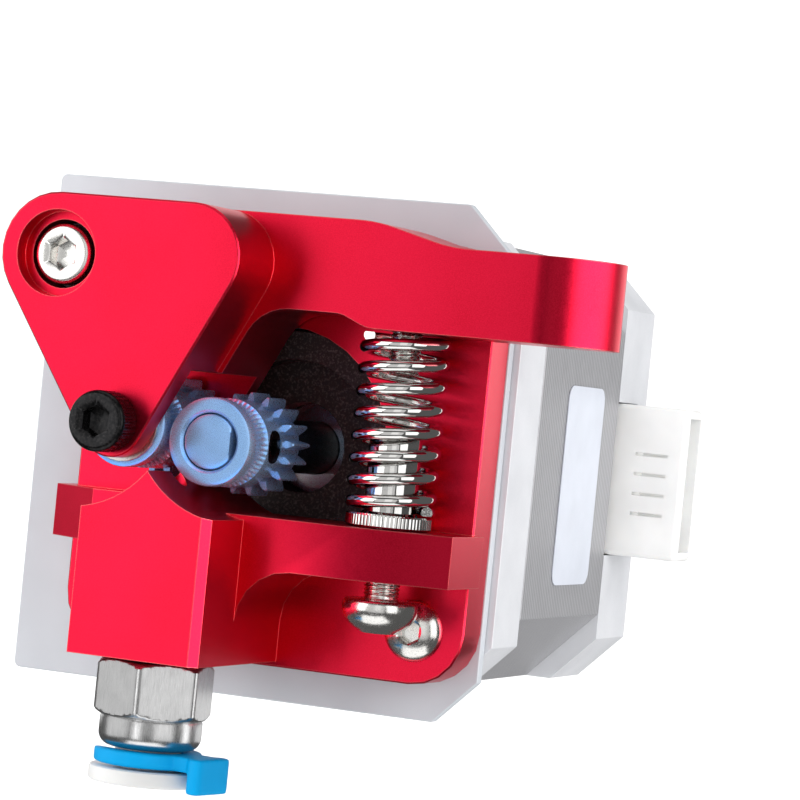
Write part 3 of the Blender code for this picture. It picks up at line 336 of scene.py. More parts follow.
def plain(name, colour, metallic, roughness):
    """A fine-grained finish for pieces that are mostly out of sight."""
    made = Nodes(name, colour, metallic, roughness)
    fine = made.noise(mm(0.15), 3.0)
    made.colour(made.mix(made.span(fine, 0.0, 1.0), tuple(0.8 * c for c in colour), colour))
    made.roughness(made.span(fine, roughness * 0.8, min(1.0, roughness * 1.2)))
    made.bump((fine, mm(0.01), 0.25))
    return made.material


RED = red_anodised()
STEEL = machined_steel("machined_stainless", (0.64, 0.65, 0.67), 0.24, (1.0, 0.15, 1.0))
GEAR_LOOK = ((0.52, 0.69, 0.90), 0.27, (1.0, 0.15, 1.0), 0.75)
GEAR_STEEL = machined_steel("gear_steel", *GEAR_LOOK)
# painted shade: the shaft's steel is painted dark behind the gear's rear
SHAFT_STEEL = machined_steel("shaft_steel", *GEAR_LOOK, GEAR_REAR)
WASHER = machined_steel("brushed_stainless", (0.60, 0.59, 0.58), 0.28, (1.0, 1.0, 0.1))
# the last argument paints shade into the spring wire's hollows
SPRING_WIRE = plated("bright_spring_wire", (0.80, 0.79, 0.77), 0.07, 0.75)
NICKEL = plated("nickel_plate", (0.80, 0.79, 0.76), 0.22)
FITTING = machined_steel("brushed_nickel_plate", (0.66, 0.66, 0.66), 0.26, (1.8, 1.8, 0.04))
BLACK = black_oxide()
CAST = cast_aluminium("cast_aluminium")
CAST_WITH_BOSS = cast_aluminium("cast_aluminium_dark_boss", mm(11.3))
SHEET = coated_sheet()
LAMINATION = laminated_steel()
WHITE = moulded("white_nylon", (0.84, 0.84, 0.83), 0.38, 0.10)
BLUE = moulded("blue_clip_plastic", (0.0, 0.34, 0.72), 0.42, shine=0.1)
LABEL = moulded("label_film", (0.62, 0.65, 0.72), 0.38)
COPPER = plain("enamelled_copper", (0.55, 0.20, 0.07), 0.9, 0.35)
MAGNET = plain("sintered_magnet", (0.16, 0.16, 0.17), 0.6, 0.55)
DARK_STEEL = plain("dark_steel", (0.09, 0.09, 0.10), 0.9, 0.40)
RUBBER = plain("black_rubber", (0.02, 0.02, 0.02), 0.0, 0.70)


# ---------------------------------------------------------------- finishing CAD nodes

def show(name, mesh, finish, node):
    """Link a mesh as a piece that rides with a CAD node and hides that node in its place."""
    piece = bpy.data.objects.new(name, mesh)
    bpy.context.scene.collection.objects.link(piece)
    mesh.materials.clear()
    mesh.materials.append(finish)
    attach(piece, frame["nodes"][node]["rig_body"])
    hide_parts(node)
    return piece


SHARP = 27.0                            # degrees; a milled piece's edges are sharper than this


def soften(piece, width, segments=2, angle=SHARP):
    """Live bevel and weighted normals, so that flats stay flat and edges catch the light."""
    bevel = piece.modifiers.new("edges", "BEVEL")
    bevel.width = width
    bevel.segments = segments
    bevel.limit_method = "ANGLE"
    bevel.angle_limit = math.radians(angle)
    bevel.use_clamp_overlap = True
    bevel.miter_outer = "MITER_ARC"
    normals = piece.modifiers.new("normals", "WEIGHTED_NORMAL")
    normals.keep_sharp = True


def finished(node, finish, width=0.0):
    """A CAD node's own shape with its flat faces whole again and its edges broken."""
    source = frame["nodes"][node]
    work = bmesh.new()
    work.from_mesh(source.data)
    same_place, same_plane = mm(0.001), math.radians(0.5)
    bmesh.ops.remove_doubles(work, verts=work.verts, dist=same_place)
    bmesh.ops.dissolve_limit(work, angle_limit=same_plane, verts=work.verts, edges=work.edges)
    mesh = bpy.data.meshes.new(node + "_surface")
    work.to_mesh(mesh)
    work.free()
    mesh.shade_smooth()
    piece = show(node + "_finished", mesh, finish, node)
    if width:
        soften(piece, width)
    else:
        mesh.set_sharp_from_angle(angle=math.radians(SHARP))
    return piece


def melted(piece, grain, passes):
    """Round every edge of a moulded piece, by an even remesh and some smoothing."""
    even = piece.modifiers.new("even", "REMESH")
    even.mode = "VOXEL"
    even.voxel_size = grain
    even.use_smooth_shade = True
    smoothing = piece.modifiers.new("round", "SMOOTH")
    smoothing.factor = 0.5
    smoothing.iterations = passes


def dress(node, finish):
    """Give a CAD node that stays as it is its material."""
    piece = frame["nodes"][node]
    piece.data.materials.clear()
    piece.data.materials.append(finish)
    piece.data.shade_smooth()
    piece.data.set_sharp_from_angle(angle=math.radians(32.0))


# ---------------------------------------------------------------- turned and toothed shapes

FORWARD = Matrix.Rotation(math.pi / 2.0, 4, "X")        # turns a shape's own height towards the viewer, -Y
UPRIGHT = Matrix()
AXIS = mm(0.02)                                         # a ring this small closes a shape on its axis


def hexagon(across, turned_by=0.0):
    """Radius of a hexagonal outline, by angle."""
    def radius(turn, _height):
        offset = (turn - turned_by + math.pi / 6.0) % (math.pi / 3.0) - math.pi / 6.0
        return across / 2.0 / math.cos(offset)
    return radius


def knurl(radius, count, depth):
    """Radius of a straight-knurled rim."""
    return lambda turn, _height: radius - depth * (0.5 + 0.5 * math.cos(count * turn)) ** 0.7


def thread(radius, depth, pitch):
    """Radius of a right-handed thread, by angle and height."""
    def local(turn, height):
        phase = (height / pitch - turn / math.tau) % 1.0
        return radius - depth * min(1.0, 2.4 * abs(phase - 0.5))
    return local


def steps(start, end, count):
    """Evenly spaced values, both ends included."""
    return [start + (end - start) * index / count for index in range(count + 1)]


def columns(count):
    """Evenly spaced angles round a full turn."""
    return [math.tau * index / count for index in range(count)]


def skin(name, rings, closed):
    """A mesh through rings of points, capped at both ends or joined into a loop."""
    work = bmesh.new()
    rows = [[work.verts.new(point) for point in ring] for ring in rings]
    pairs = list(zip(rows, rows[1:])) + ([(rows[-1], rows[0])] if closed else [])
    for near, far in pairs:
        for index in range(len(near)):
            follow = (index + 1) % len(near)
            work.faces.new((near[index], near[follow], far[follow], far[index]))
    if not closed:
        work.faces.new(rows[0])
        work.faces.new(rows[-1])
    bmesh.ops.recalc_face_normals(work, faces=work.faces)
    mesh = bpy.data.meshes.new(name)
    work.to_mesh(mesh)
    work.free()
    mesh.shade_smooth()
    return mesh


def turned(node, profile, centre, finish, frame_turn=FORWARD, turns=(), closed=False, sharp=35.0):
    """A piece in a node's place, its profile of (radius or function of angle and height, height) pairs
    taken round the axis at each angle in turns."""
    place = Matrix.Translation(centre) @ frame_turn
    rings = []
    for radius, height in profile:
        ring = []
        for turn in turns:
            local = radius(turn, height) if callable(radius) else radius
            ring.append(place @ Vector((local * math.cos(turn), local * math.sin(turn), height)))
        rings.append(ring)
    mesh = skin(node + "_surface", rings, closed)
    mesh.set_sharp_from_angle(angle=math.radians(sharp))
    return show(node + "_finished", mesh, finish, node)


# ---------------------------------------------------------------- gears

TEETH = 17
TOOTH = math.tau / TEETH
TIP, PITCH, ROOT = mm(4.72, 4.25, 3.62)
HALF_WIDTHS = mm(0.105, 0.275, 0.43)                    # half a tooth at those three radii
TOOTH_EDGES = [(half / radius, radius) for half, radius in zip(HALF_WIDTHS, (TIP, PITCH, ROOT))]
HUB = mm(4.0)
BORE = mm(2.6)
GRIP_GROOVES = 3 * TEETH


def tooth_radius(offset):
    """The outline of one tooth, by angle from its middle."""
    offset = abs(offset)
    inner_angle, inner = TOOTH_EDGES[0]
    if offset <= inner_angle:
        return inner
    for angle, radius in TOOTH_EDGES[1:]:
        if offset <= angle:
            return inner + (radius - inner) * (offset - inner_angle) / (angle - inner_angle)
        inner_angle, inner = angle, radius
    return ROOT


def gear(node, centre, first_tooth):
    """Rear teeth that run out into a hub, and a hollow band of fine grooves that grips the filament."""
    across_tooth = 24
    edges = [angle for angle, _ in TOOTH_EDGES]
    even = [TOOTH * (index / across_tooth - 0.5) for index in range(across_tooth)]
    local = sorted({*even, *edges, *(-angle for angle in edges)})
    turns = [first_tooth + TOOTH * index + angle for index in range(TEETH) for angle in local]

    def offset(turn):
        return (turn - first_tooth + TOOTH / 2.0) % TOOTH - TOOTH / 2.0

    def toothed(lift, limit):
        return lambda turn, _height: min(limit, tooth_radius(offset(turn)) + lift)

    def gripping(radius, depth):
        def local(turn, _height):
            phase = (turn * GRIP_GROOVES / math.tau) % 1.0
            return radius - depth * abs(phase - 0.5) * 2.0
        return local

    low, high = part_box(node)
    front, rear = -low.y, -high.y
    rim, corner, bore_edge, chamfer = mm(0.3, 0.08, 0.25, 0.12)
    band, half_band, dip, groove = -COLLET.y, *mm(1.35, 0.5, 0.17)
    tooth_length, run_out = mm(3.9, 1.5)
    shoulder = rear + tooth_length
    profile = [(BORE + bore_edge, front), (HUB - rim, front), (HUB - corner, front - rim / 3.0),
               (HUB, front - rim)]
    for across in steps(-1.0, 1.0, 14):
        hollow = HUB - dip * (1.0 - across * across)
        profile.append((gripping(hollow, groove * (1.0 - abs(across) ** 6)), band - half_band * across))
    for share in steps(0.0, 1.0, 6):
        lift = (HUB - ROOT) * (1.0 - share) ** 2
        profile.append((toothed(lift, HUB), shoulder + run_out * (1.0 - share)))
    profile += [(toothed(0.0, TIP - chamfer), shoulder), (toothed(0.0, TIP), shoulder - chamfer),
                (toothed(0.0, TIP), rear + chamfer), (toothed(0.0, TIP - chamfer), rear),
                (BORE + bore_edge, rear), (BORE, rear + bore_edge), (BORE, front - bore_edge)]
    return turned(node, profile, centre, GEAR_STEEL, turns=turns, closed=True, sharp=28.0)


def carve(piece, mesh, place=Matrix()):
    """Cut a closed mesh out of a finished piece."""
    cutter = bpy.data.objects.new("cutter", mesh)
    bpy.context.scene.collection.objects.link(cutter)
    cutter.matrix_world = place
    step = piece.modifiers.new("hole", "BOOLEAN")
    step.object = cutter
    step.operation = "DIFFERENCE"
    step.solver = "EXACT"
    bpy.context.view_layer.update()
    depsgraph = bpy.context.evaluated_depsgraph_get()
    result = bpy.data.meshes.new_from_object(piece.evaluated_get(depsgraph))
    piece.modifiers.remove(step)
    piece.data = result
    bpy.data.objects.remove(cutter)


def rod(radius, depth):
    """A round bar about the origin, along Z."""
    work = bmesh.new()
    bmesh.ops.create_cone(work, cap_ends=True, segments=48, radius1=radius, radius2=radius, depth=depth)
    mesh = bpy.data.meshes.new("rod")
    work.to_mesh(mesh)
    work.free()
    return mesh


def brick(name, low, high, soft=0.0):
    """A box between two corners, its edges rounded by soft."""
    work = bmesh.new()
    bmesh.ops.create_cube(work, size=1.0)
    for vertex in work.verts:
        vertex.co = [l + (h - l) * (c + 0.5) for l, h, c in zip(low, high, vertex.co)]
    if soft:
        bmesh.ops.bevel(work, geom=work.edges[:], offset=soft, segments=4, profile=0.5, affect="EDGES")
    mesh = bpy.data.meshes.new(name)
    work.to_mesh(mesh)
    work.free()
    return mesh


def gears():
    """The two gears, turned so that their teeth mesh, and the tapped hole for the grub screw."""
    line = math.atan2(IDLER.z, IDLER.x)
    drive = gear("drive_gear", (0.0, 0.0, 0.0), line)
    grub, reach, tapped = middle("grub_screw"), *mm(4.0, 1.5)
    across = Matrix.Rotation(math.pi / 2.0, 4, "Y")
    carve(drive, rod(tapped, reach), Matrix.Translation((reach, grub.y, grub.z)) @ across)
    backlash = 0.03
    gear("idler_gear", (IDLER.x, 0.0, IDLER.z), line + math.pi + TOOTH / 2.0 + backlash)


def shaft():
    """The motor's shaft, with a flat on its front end."""
    low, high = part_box("motor_shaft")
    radius, flat, flat_length, soft, corner = mm(2.5, 2.0, 15.0, 0.35, 0.08)
    front, rear = -low.y, -high.y
    flat_end = front - flat_length

    def ground(size):
        return lambda turn, _height: min(size, flat / max(0.2, math.cos(turn)))

    profile = [(ground(radius - soft), front), (ground(radius - corner), front - mm(0.12)),
               (ground(radius), front - soft), (ground(radius), flat_end), (radius, flat_end),
               (radius, rear + soft), (radius - soft, rear)]
    turned("motor_shaft", profile, (0.0, 0.0, 0.0), SHAFT_STEEL, turns=columns(120))


# ---------------------------------------------------------------- screws

M3 = mm(1.5)
SOCKET_EDGE = mm(0.12)


def mouth(across):
    """The radius of the broken edge round a hexagonal socket."""
    return across / math.sqrt(3.0) + SOCKET_EDGE


def socket(across, floor, top):
    """The inside of a hexagonal socket, from its floor to the head's face."""
    key = hexagon(across)
    return [(AXIS, floor), (hexagon(across * 0.98), floor), (key, floor + AXIS),
            (key, top - SOCKET_EDGE), (mouth(across), top)]


def shank(radius, seat, tip):
    """A plain shank down to a chamfered tip."""
    soft = mm(0.3)
    return [(radius, seat), (radius, tip + soft), (radius - soft, tip), (AXIS, tip)]


def cap_screw(node, finish, ribs=0):
    """A cap head screw facing forward, its rim plain or ribbed."""
    low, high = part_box(node)
    centre = middle(node)
    radius, height, across, deep = (high.x - low.x) / 2.0, *mm(3.0, 2.5, 1.6)
    soft, rib, under, foot = mm(0.50, 0.13, 0.2, 0.15)
    front, seat, tip = -low.y, -low.y - height, -high.y
    rim = knurl(radius, ribs, rib) if ribs else radius
    profile = [*socket(across, front - deep, front)]
    profile += [(radius - soft * (1.0 - math.sin(turn)), front - soft * (1.0 - math.cos(turn)))
                for turn in steps(0.0, math.radians(80.0), 6)]
    profile += [(rim, front - soft), (rim, seat + under), (radius - foot, seat), *shank(M3, seat, tip)]
    turned(node, profile, (centre.x, 0.0, centre.z), finish, turns=columns(288), sharp=40.0)


def button_screw(node, finish):
    """A low domed screw facing forward."""
    low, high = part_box(node)
    centre = middle(node)
    radius, height, across, deep = (high.x - low.x) / 2.0, *mm(1.65, 2.0, 0.9)
    front, seat, tip = -low.y, -low.y - height, -high.y
    start = math.asin(min(1.0, mouth(across) / radius))
    crown = front - height * (1.0 - math.cos(start))
    dome = [(radius * math.sin(turn), front - height * (1.0 - math.cos(turn)))
            for turn in steps(start, math.radians(86.0), 12)]
    profile = [*socket(across, crown - deep, crown)[:-1], *dome, (radius, seat), *shank(M3, seat, tip)]
    turned(node, profile, (centre.x, 0.0, centre.z), finish, turns=columns(96), sharp=40.0)


def threaded(radius, depth, pitch, low, high):
    """Rows of a helical thread between two heights."""
    rows = max(2, round((high - low) / pitch * 6.0))
    shape = thread(radius, depth, pitch)
    return [(shape, height) for height in steps(low, high, rows)]


def tension_screw():
    """The adjusting screw under the bar: a domed head below, its thread above."""
    low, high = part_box("tension_screw")
    centre = middle("tension_screw")
    head, neck, radius = (high.x - low.x) / 2.0, *mm(1.5, 1.65)
    height, across, deep, edge, curl = mm(3.2, 2.5, 1.7, 0.75, 0.35)
    groove, pitch, soft = mm(0.16, 0.35, 0.3)
    bottom, seat, thread_end, tip = low.z, low.z + height, mm(-11.2), high.z
    drop, floor = height - edge, bottom + deep
    key = hexagon(across)
    bulge = [(head * math.cos(turn), seat - edge - drop * math.sin(turn))
             for turn in steps(0.0, math.radians(68.0), 12)]
    rim = [(head - curl * (1.0 - math.cos(turn)), seat - edge + (edge - AXIS) * math.sin(turn))
           for turn in steps(0.0, math.pi / 2.0, 5)]
    inside = [(AXIS, floor + soft), (key, floor), (key, bottom + mm(0.25)), (mouth(across), bulge[-1][1])]
    outer = [point for point in bulge[::-1] if point[0] > mouth(across) + mm(0.05)]
    profile = [*inside, *outer, *rim[1:], (neck + curl, seat), (neck + mm(0.05), seat + mm(0.12)),
               (neck, seat + soft), *threaded(radius, groove, pitch, seat + curl, thread_end),
               (radius, thread_end + mm(0.1)), (radius, tip - soft), (radius - soft, tip), (AXIS, tip)]
    turned("tension_screw", profile, (centre.x, centre.y, 0.0), NICKEL, UPRIGHT, turns=columns(96),
           sharp=45.0)


# ---------------------------------------------------------------- spring and its seats

def spring():
    """A round wire coil whose end turns lie close and are ground flat."""
    low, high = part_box("spring")
    centre = middle("spring")
    wire, turns, closed, sides, per_turn = mm(0.55), 8.5, 1.0, 18, 56
    coil_radius = (high.x - low.x) / 2.0 - wire
    bottom, top, skim = low.z, high.z, mm(0.01)
    sunk, ease = 0.55, 1.6                  # where the ground ends sit, in wires, and how they ease in
    start, end = bottom + wire * sunk, top - wire * sunk
    rise = 2.15 * wire * closed
    rings = []
    for index in range(round(turns * per_turn) + 1):
        done = index / per_turn
        share = (done - closed) / (turns - 2.0 * closed)
        height = start + rise + (end - start - 2.0 * rise) * share
        if share < 0.0:
            height = start + rise * (done / closed) ** ease
        elif share > 1.0:
            height = end - rise * ((turns - done) / closed) ** ease
        angle = math.tau * done
        outward = Vector((math.cos(angle), math.sin(angle), 0.0))
        ring = []
        for turn in columns(sides):
            point = Vector((centre.x, centre.y, height)) + outward * (coil_radius + wire * math.cos(turn))
            point.z = min(max(point.z + wire * math.sin(turn), bottom + skim), top - skim)
            ring.append(point)
        rings.append(ring)
    mesh = skin("spring_surface", rings, False)
    mesh.set_sharp_from_angle(angle=math.radians(40.0))
    made = show("spring_finished", mesh, SPRING_WIRE, "spring")
    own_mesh(made)


def spring_seat():
    """The ribbed disc and post that carry the spring on the screw's tip."""
    low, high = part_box("spring_seat")
    centre = middle("spring_seat")
    flange, post, hole, rib = (high.x - low.x) / 2.0, *mm(2.4, 1.8, 0.05)
    deck, roof, soft, round_over, fillet = mm(-5.0, -3.0, 0.15, 0.5, 0.2)
    ribbed = knurl(flange, 72, rib)
    profile = [(AXIS, high.z), (post - round_over, high.z), (post - soft, high.z - mm(0.12)),
               (post, high.z - mm(0.45)), (post, deck + fillet), (post + fillet, deck),
               (flange - soft, deck), (ribbed, deck - soft), (ribbed, low.z + soft), (flange - soft, low.z),
               (hole, low.z), (hole, roof), (AXIS, roof)]
    turned("spring_seat", profile, (centre.x, centre.y, 0.0), SPRING_WIRE, UPRIGHT, turns=columns(288))


def spring_stud():
    """The threaded stud in the lever that holds the spring's upper end."""
    low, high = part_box("spring_stud")
    centre = middle("spring_stud")
    across, deep, mouth_radius, end_radius = mm(1.5, 1.4, 1.0, 1.2)
    groove, pitch, lead, edge = mm(0.24, 0.5, 0.15, 0.1)
    floor, key = low.z + deep, hexagon(across)
    profile = [(AXIS, floor + edge), (key, floor), (key, low.z + edge), (mouth_radius, low.z),
               (end_radius, low.z), *threaded(M3, groove, pitch, low.z + lead, high.z - 2.0 * edge),
               (end_radius, high.z), (AXIS, high.z)]
    turned("spring_stud", profile, (centre.x, centre.y, 0.0), NICKEL, UPRIGHT, turns=columns(72), sharp=50.0)


# ---------------------------------------------------------------- push fitting

TUBE = mm(2.1)                          # half the tube's bore through the fitting and the collet


def fitting():
    """A chamfered hexagon over a round skirt, with a threaded nose above."""
    low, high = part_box("fitting_body")
    centre = middle("collet")
    bottom, top = low.z, high.z
    hex_low, hex_high, bore_top, stop = mm(-25.2, -20.1, -22.4, -17.2)
    across, corner, skirt, bore, filament = mm(9.5, 5.34, 4.63, 3.3, 1.1)
    nose, thread_radius, groove, pitch = mm(2.75, 2.9, 0.3, 0.9)
    cone, soft, undercut = mm(0.55, 1.2, 0.25)
    flat = hexagon(across, math.radians(7.9))

    def bounded(limit):
        return lambda turn, height: min(flat(turn, height), limit)

    ends = [(bounded(mm(4.66)), 0.0), (bounded(mm(4.90)), cone * 0.25), (bounded(mm(5.14)), cone * 0.55),
            (bounded(corner), cone)]
    curve = [(skirt - soft * (1.0 - math.cos(turn)), bottom + soft * (1.0 - math.sin(turn)))
             for turn in steps(math.pi / 2.0, 0.0, 8)]
    profile = [(TUBE, stop), (TUBE, bore_top), (bore, bore_top), (bore, bottom), *curve,
               (skirt, hex_low - undercut), (skirt - mm(0.12), hex_low)]
    profile += [(radius, hex_low + rise) for radius, rise in ends]
    profile += [(radius, hex_high - rise) for radius, rise in ends[::-1]]
    profile += [(nose, hex_high), *threaded(thread_radius, groove, pitch, hex_high + groove, top - mm(0.2)),
                (nose - undercut, top), (filament, top), (filament, stop)]
    piece = turned("fitting_body", profile, (centre.x, centre.y, 0.0), FITTING, UPRIGHT, turns=columns(144),
                   closed=True, sharp=30.0)
    soften(piece, mm(0.40), 3, 40.0)


def collet():
    """The white release collar: a flange below the fitting, and a sleeve up inside it."""
    low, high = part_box("collet")
    centre = middle("collet")
    flange, bottom, top = (high.x - low.x) / 2.0, low.z, high.z
    sleeve, thickness, soft, edge, funnel, funnel_rise = mm(3.0, 1.4, 0.3, 0.2, 0.5, 0.8)
    deck = bottom + thickness
    curve = [(flange - soft * (1.0 - math.cos(turn)), bottom + soft * (1.0 - math.sin(turn)))
             for turn in steps(math.pi / 2.0, 0.0, 5)]
    profile = [(TUBE, top - edge), (TUBE, bottom + funnel_rise), (TUBE + funnel, bottom), *curve,
               (flange, deck - soft), (flange - soft * 0.3, deck - soft * 0.3), (flange - soft, deck),
               (sleeve, deck), (sleeve, top - edge), (sleeve - edge, top), (TUBE + edge, top)]
    turned("collet", profile, (centre.x, centre.y, 0.0), WHITE, UPRIGHT, turns=columns(128), closed=True)


# ---------------------------------------------------------------- connector

def connector():
    """A round-cornered plug housing, open to the side, with four slots across its front."""
    low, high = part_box("motor_connector")
    wall, past, soft, floor = mm(0.9, 1.0, 0.55, 22.6)
    near, far, lowest, pitch, half = mm(23.1, 26.5, -3.7, 2.0, 0.17)
    mesh = brick("motor_connector_surface", low, high, soft)
    piece = show("motor_connector_finished", mesh, WHITE, "motor_connector")
    carve(piece, brick("plug_space", (floor, low.y + wall, low.z + wall),
                       (high.x + past, high.y - wall, high.z - wall)))
    for index in range(4):
        level = lowest + pitch * index
        carve(piece, brick("slot", (near, low.y - past, level - half),
                           (far, low.y + wall + past, level + half)))
    piece.data.shade_smooth()
    piece.data.set_sharp_from_angle(angle=math.radians(50.0))


# ---------------------------------------------------------------- every node's finish

FINISHES = {
    "base_block": (RED, 0.14), "lever_arm": (RED, 0.16), "mounting_sheet": (SHEET, 0.20),
    "motor_front_cap": (CAST_WITH_BOSS, 0.25), "motor_rear_cap": (CAST, 0.25),
    "stator_stack": (LAMINATION, 0.12),
    "motor_label": (LABEL, 0.02),
    "washer_front": (WASHER, 0.06), "washer_rear": (WASHER, 0.08),
}
HIDDEN = {
    "front_winding": COPPER, "rear_winding": COPPER, "front_bearing": STEEL, "rear_bearing": STEEL,
    "wave_washer": DARK_STEEL, "motor_bolt_upper_left": STEEL, "motor_bolt_lower_left": STEEL,
    "motor_bolt_lower_right": STEEL, "motor_bolt_upper_right": STEEL, "base_screw_upper_right": STEEL,
    "pivot_sleeve": DARK_STEEL, "o_ring": RUBBER, "grip_ring": STEEL, "rotor_core_front": LAMINATION,
    "rotor_core_rear": LAMINATION, "rotor_magnet": MAGNET, "grub_screw": BLACK,
    "needle_bearing_front": STEEL, "needle_bearing_rear": STEEL,
}


def finish_nodes():
    """The pieces that keep the CAD's shape."""
    for node, (finish, width) in FINISHES.items():
        finished(node, finish, mm(width))
    melted(finished("collet_clip", BLUE), mm(0.14), 24)
    for node, finish in HIDDEN.items():
        dress(node, finish)


# ---------------------------------------------------------------- stage, light and camera

def backdrop():
    """A pale floor that curves up into a wall."""
    floor, wall_top, depth, front, half, bend = mm(-60, 1100, 420, -900, 1500, 160)
    pieces = 16
    profile = [(front, floor)]
    for index in range(pieces + 1):
        turn = math.pi / 2.0 * index / pieces
        profile.append((depth - bend + bend * math.sin(turn), floor + bend - bend * math.cos(turn)))
    profile.append((depth, wall_top))
    mesh = bpy.data.meshes.new("backdrop")
    points = [(x, y, z) for y, z in profile for x in (-half, half)]
    faces = [(2 * i, 2 * i + 1, 2 * i + 3, 2 * i + 2) for i in range(len(profile) - 1)]
    mesh.from_pydata(points, [], faces)
    mesh.shade_smooth()
    made = bpy.data.objects.new("backdrop", mesh)
    made.visible_glossy = False
    bpy.context.scene.collection.objects.link(made)
    paint = Nodes("backdrop_paint", (0.90, 0.90, 0.90), 0.0, 0.9)
    paint.set("Emission Color", (1.0, 1.0, 1.0, 1.0))
    paint.set("Emission Strength", 0.22)
    mesh.materials.append(paint.material)


def softbox(name, azimuth, elevation, distance, size, radiance, colour=(1.0, 1.0, 1.0), only=None):
    """An area light aimed at the gears. Azimuth, in degrees, is 0 in front and positive to the right."""
    turn, rise = math.radians(azimuth), math.radians(elevation)
    target = Vector((0.0, PLATE_REAR - mm(10), 0.0))
    away = Vector((math.sin(turn) * math.cos(rise), -math.cos(turn) * math.cos(rise), math.sin(rise)))
    lamp = bpy.data.lights.new(name, "AREA")
    lamp.shape = "RECTANGLE"
    lamp.size, lamp.size_y = size
    lamp.energy = radiance * math.pi * lamp.size * lamp.size_y
    lamp.color = colour
    made = bpy.data.objects.new(name, lamp)
    bpy.context.scene.collection.objects.link(made)
    made.location = target + away * distance
    made.rotation_euler = (-away).to_track_quat("-Z", "Y").to_euler()
    made.visible_camera = False
    if only:
        made.light_linking.receiver_collection = only


def world_light():
    """White surroundings, dim where a mirror sees them, so that bare metal keeps its contrast."""
    world = bpy.data.worlds.new("studio")
    bpy.context.scene.world = world
    world.use_nodes = True
    tree = world.node_tree
    background = tree.nodes["Background"]
    rays = tree.nodes.new("ShaderNodeLightPath")
    strength = tree.nodes.new("ShaderNodeMapRange")
    tree.links.new(rays.outputs["Is Glossy Ray"], strength.inputs["Value"])
    strength.inputs["To Min"].default_value = 0.62
    strength.inputs["To Max"].default_value = 0.10
    tree.links.new(strength.outputs["Result"], background.inputs["Strength"])
    background.inputs["Color"].default_value = (1.0, 1.0, 1.0, 1.0)


def receivers(name, *nodes):
    """The finished pieces of some nodes, as a collection that a light can be limited to."""
    made = bpy.data.collections.new(name)
    for node in nodes:
        made.objects.link(bpy.data.objects[node + "_finished"])
    return made


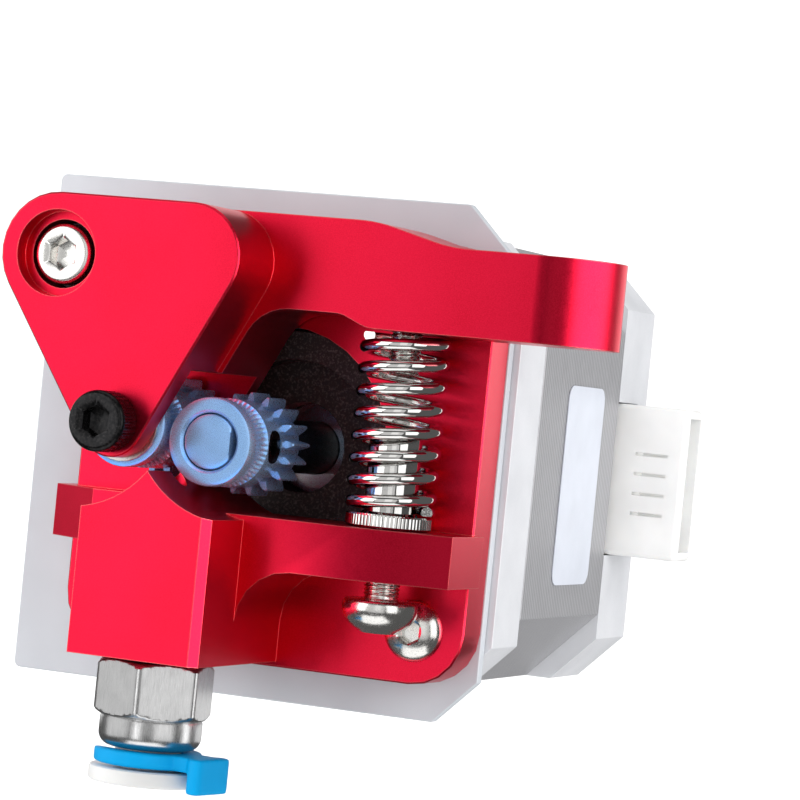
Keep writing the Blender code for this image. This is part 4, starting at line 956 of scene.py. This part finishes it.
def lights():
    """Large softboxes; metals that mirror them differently get their own from the same side."""
    base = receivers("lit_base", "base_block")
    red = receivers("lit_red", "base_block", "lever_arm")
    motor = receivers("lit_motor", "mounting_sheet", "motor_front_cap", "stator_stack", "motor_rear_cap",
                      "motor_connector", "motor_label")
    bright = receivers("lit_bright", "pivot_screw", "base_screw_lower_right", "base_screw_lower_left",
                       "tension_screw", "spring", "spring_seat", "spring_stud", "idler_axle", "washer_front",
                       "washer_rear")
    hexed = receivers("lit_fitting", "fitting_body")
    white = receivers("lit_white", "motor_connector", "collet_clip")
    geared = receivers("lit_gears", "drive_gear", "idler_gear", "motor_shaft")
    not_keyed = receivers("not_keyed", "fitting_body", "drive_gear", "idler_gear", "motor_shaft")
    for entry in not_keyed.collection_objects:
        entry.light_linking.link_state = "EXCLUDE"      # the key light reaches everything else

    softbox("key_left", -51, 10, mm(500), mm(620, 520), 1.70, only=not_keyed)
    softbox("front_fill", 17, 12, mm(500), mm(160, 420), 0.32)
    softbox("front_base", -16, 0, mm(500), mm(150, 420), 0.45, only=base)
    softbox("right_red", 82, 5, mm(450), mm(560, 420), 3.6, only=red)
    softbox("low_red", -20, -58, mm(450), mm(420, 240), 1.3, only=red)
    softbox("rear_red", 158, 6, mm(340), mm(190, 110), 1.40, only=red)
    softbox("right_motor", 80, 8, mm(450), mm(420, 420), 3.4, only=motor)
    softbox("front_white", 35, 5, mm(450), mm(300, 300), 2.2, only=white)
    softbox("right_bright", 60, 10, mm(450), mm(260, 420), 1.5, only=bright)
    softbox("front_bright", 10, 5, mm(400), mm(420, 420), 0.55, only=bright)
    softbox("rear_bright", 170, 0, mm(340), mm(260, 200), 0.9, only=bright)
    softbox("low_bright", 0, -65, mm(450), mm(520, 360), 1.2, only=bright)
    softbox("left_fitting", -58, 8, mm(500), mm(620, 520), 0.75, only=hexed)
    softbox("corner_fitting", -6, 0, mm(500), mm(130, 420), 2.2, only=hexed)
    softbox("front_fitting", 54, 5, mm(500), mm(420, 420), 1.1, only=hexed)
    softbox("edge_fitting", 112, 0, mm(500), mm(150, 420), 2.2, only=hexed)
    softbox("rear_fitting", 165, 0, mm(340), mm(260, 200), 0.9, only=hexed)
    softbox("low_fitting", 10, -60, mm(450), mm(520, 360), 1.6, only=hexed)
    softbox("back_left", -140, 20, mm(450), mm(420, 420), 0.80)
    softbox("top", 0, 88, mm(420), mm(420, 420), 0.80)

    pale, blue = (0.42, 0.70, 1.0), (0.06, 0.36, 1.0)
    softbox("gears_front", -5, 0, mm(300), mm(560, 420), 0.58, pale, geared)
    softbox("gears_left", -70, 10, mm(300), mm(300, 420), 0.9, blue, geared)
    softbox("gears_right", 60, 15, mm(260), mm(300, 300), 1.0, pale, geared)
    softbox("gears_above", 30, 65, mm(260), mm(300, 300), 1.2, blue, geared)
    softbox("gears_below", -20, -55, mm(260), mm(360, 260), 2.2, blue, geared)


def camera():
    """A long lens from the right, slightly rolled."""
    azimuth, roll = math.radians(21.4), math.radians(5.63)
    distance, lens = mm(320), 154.8
    target = Vector((mm(10.2), PLATE_REAR, mm(5.35)))
    back = Vector((math.sin(azimuth), -math.cos(azimuth), 0.0))
    right = Vector((math.cos(azimuth), math.sin(azimuth), 0.0))
    up = Vector((0.0, 0.0, 1.0))
    rolled_right = right * math.cos(roll) + up * math.sin(roll)
    rolled_up = up * math.cos(roll) - right * math.sin(roll)
    data = bpy.data.cameras.new("camera")
    data.lens = lens
    data.sensor_width = 36.0
    data.clip_start = mm(10)
    made = bpy.data.objects.new("camera", data)
    bpy.context.scene.collection.objects.link(made)
    turn = Matrix((rolled_right, rolled_up, back)).transposed().to_4x4()
    made.matrix_world = Matrix.Translation(target + back * distance) @ turn
    bpy.context.scene.camera = made


def main():
    finish_nodes()
    connector()
    gears()
    shaft()
    cap_screw("pivot_screw", NICKEL)
    cap_screw("idler_axle", BLACK, 32)
    button_screw("base_screw_lower_right", NICKEL)
    button_screw("base_screw_lower_left", NICKEL)
    tension_screw()
    spring()
    spring_seat()
    spring_stud()
    fitting()
    collet()
    backdrop()
    world_light()
    lights()
    camera()
    bpy.context.scene.view_settings.view_transform = "Standard"


main()
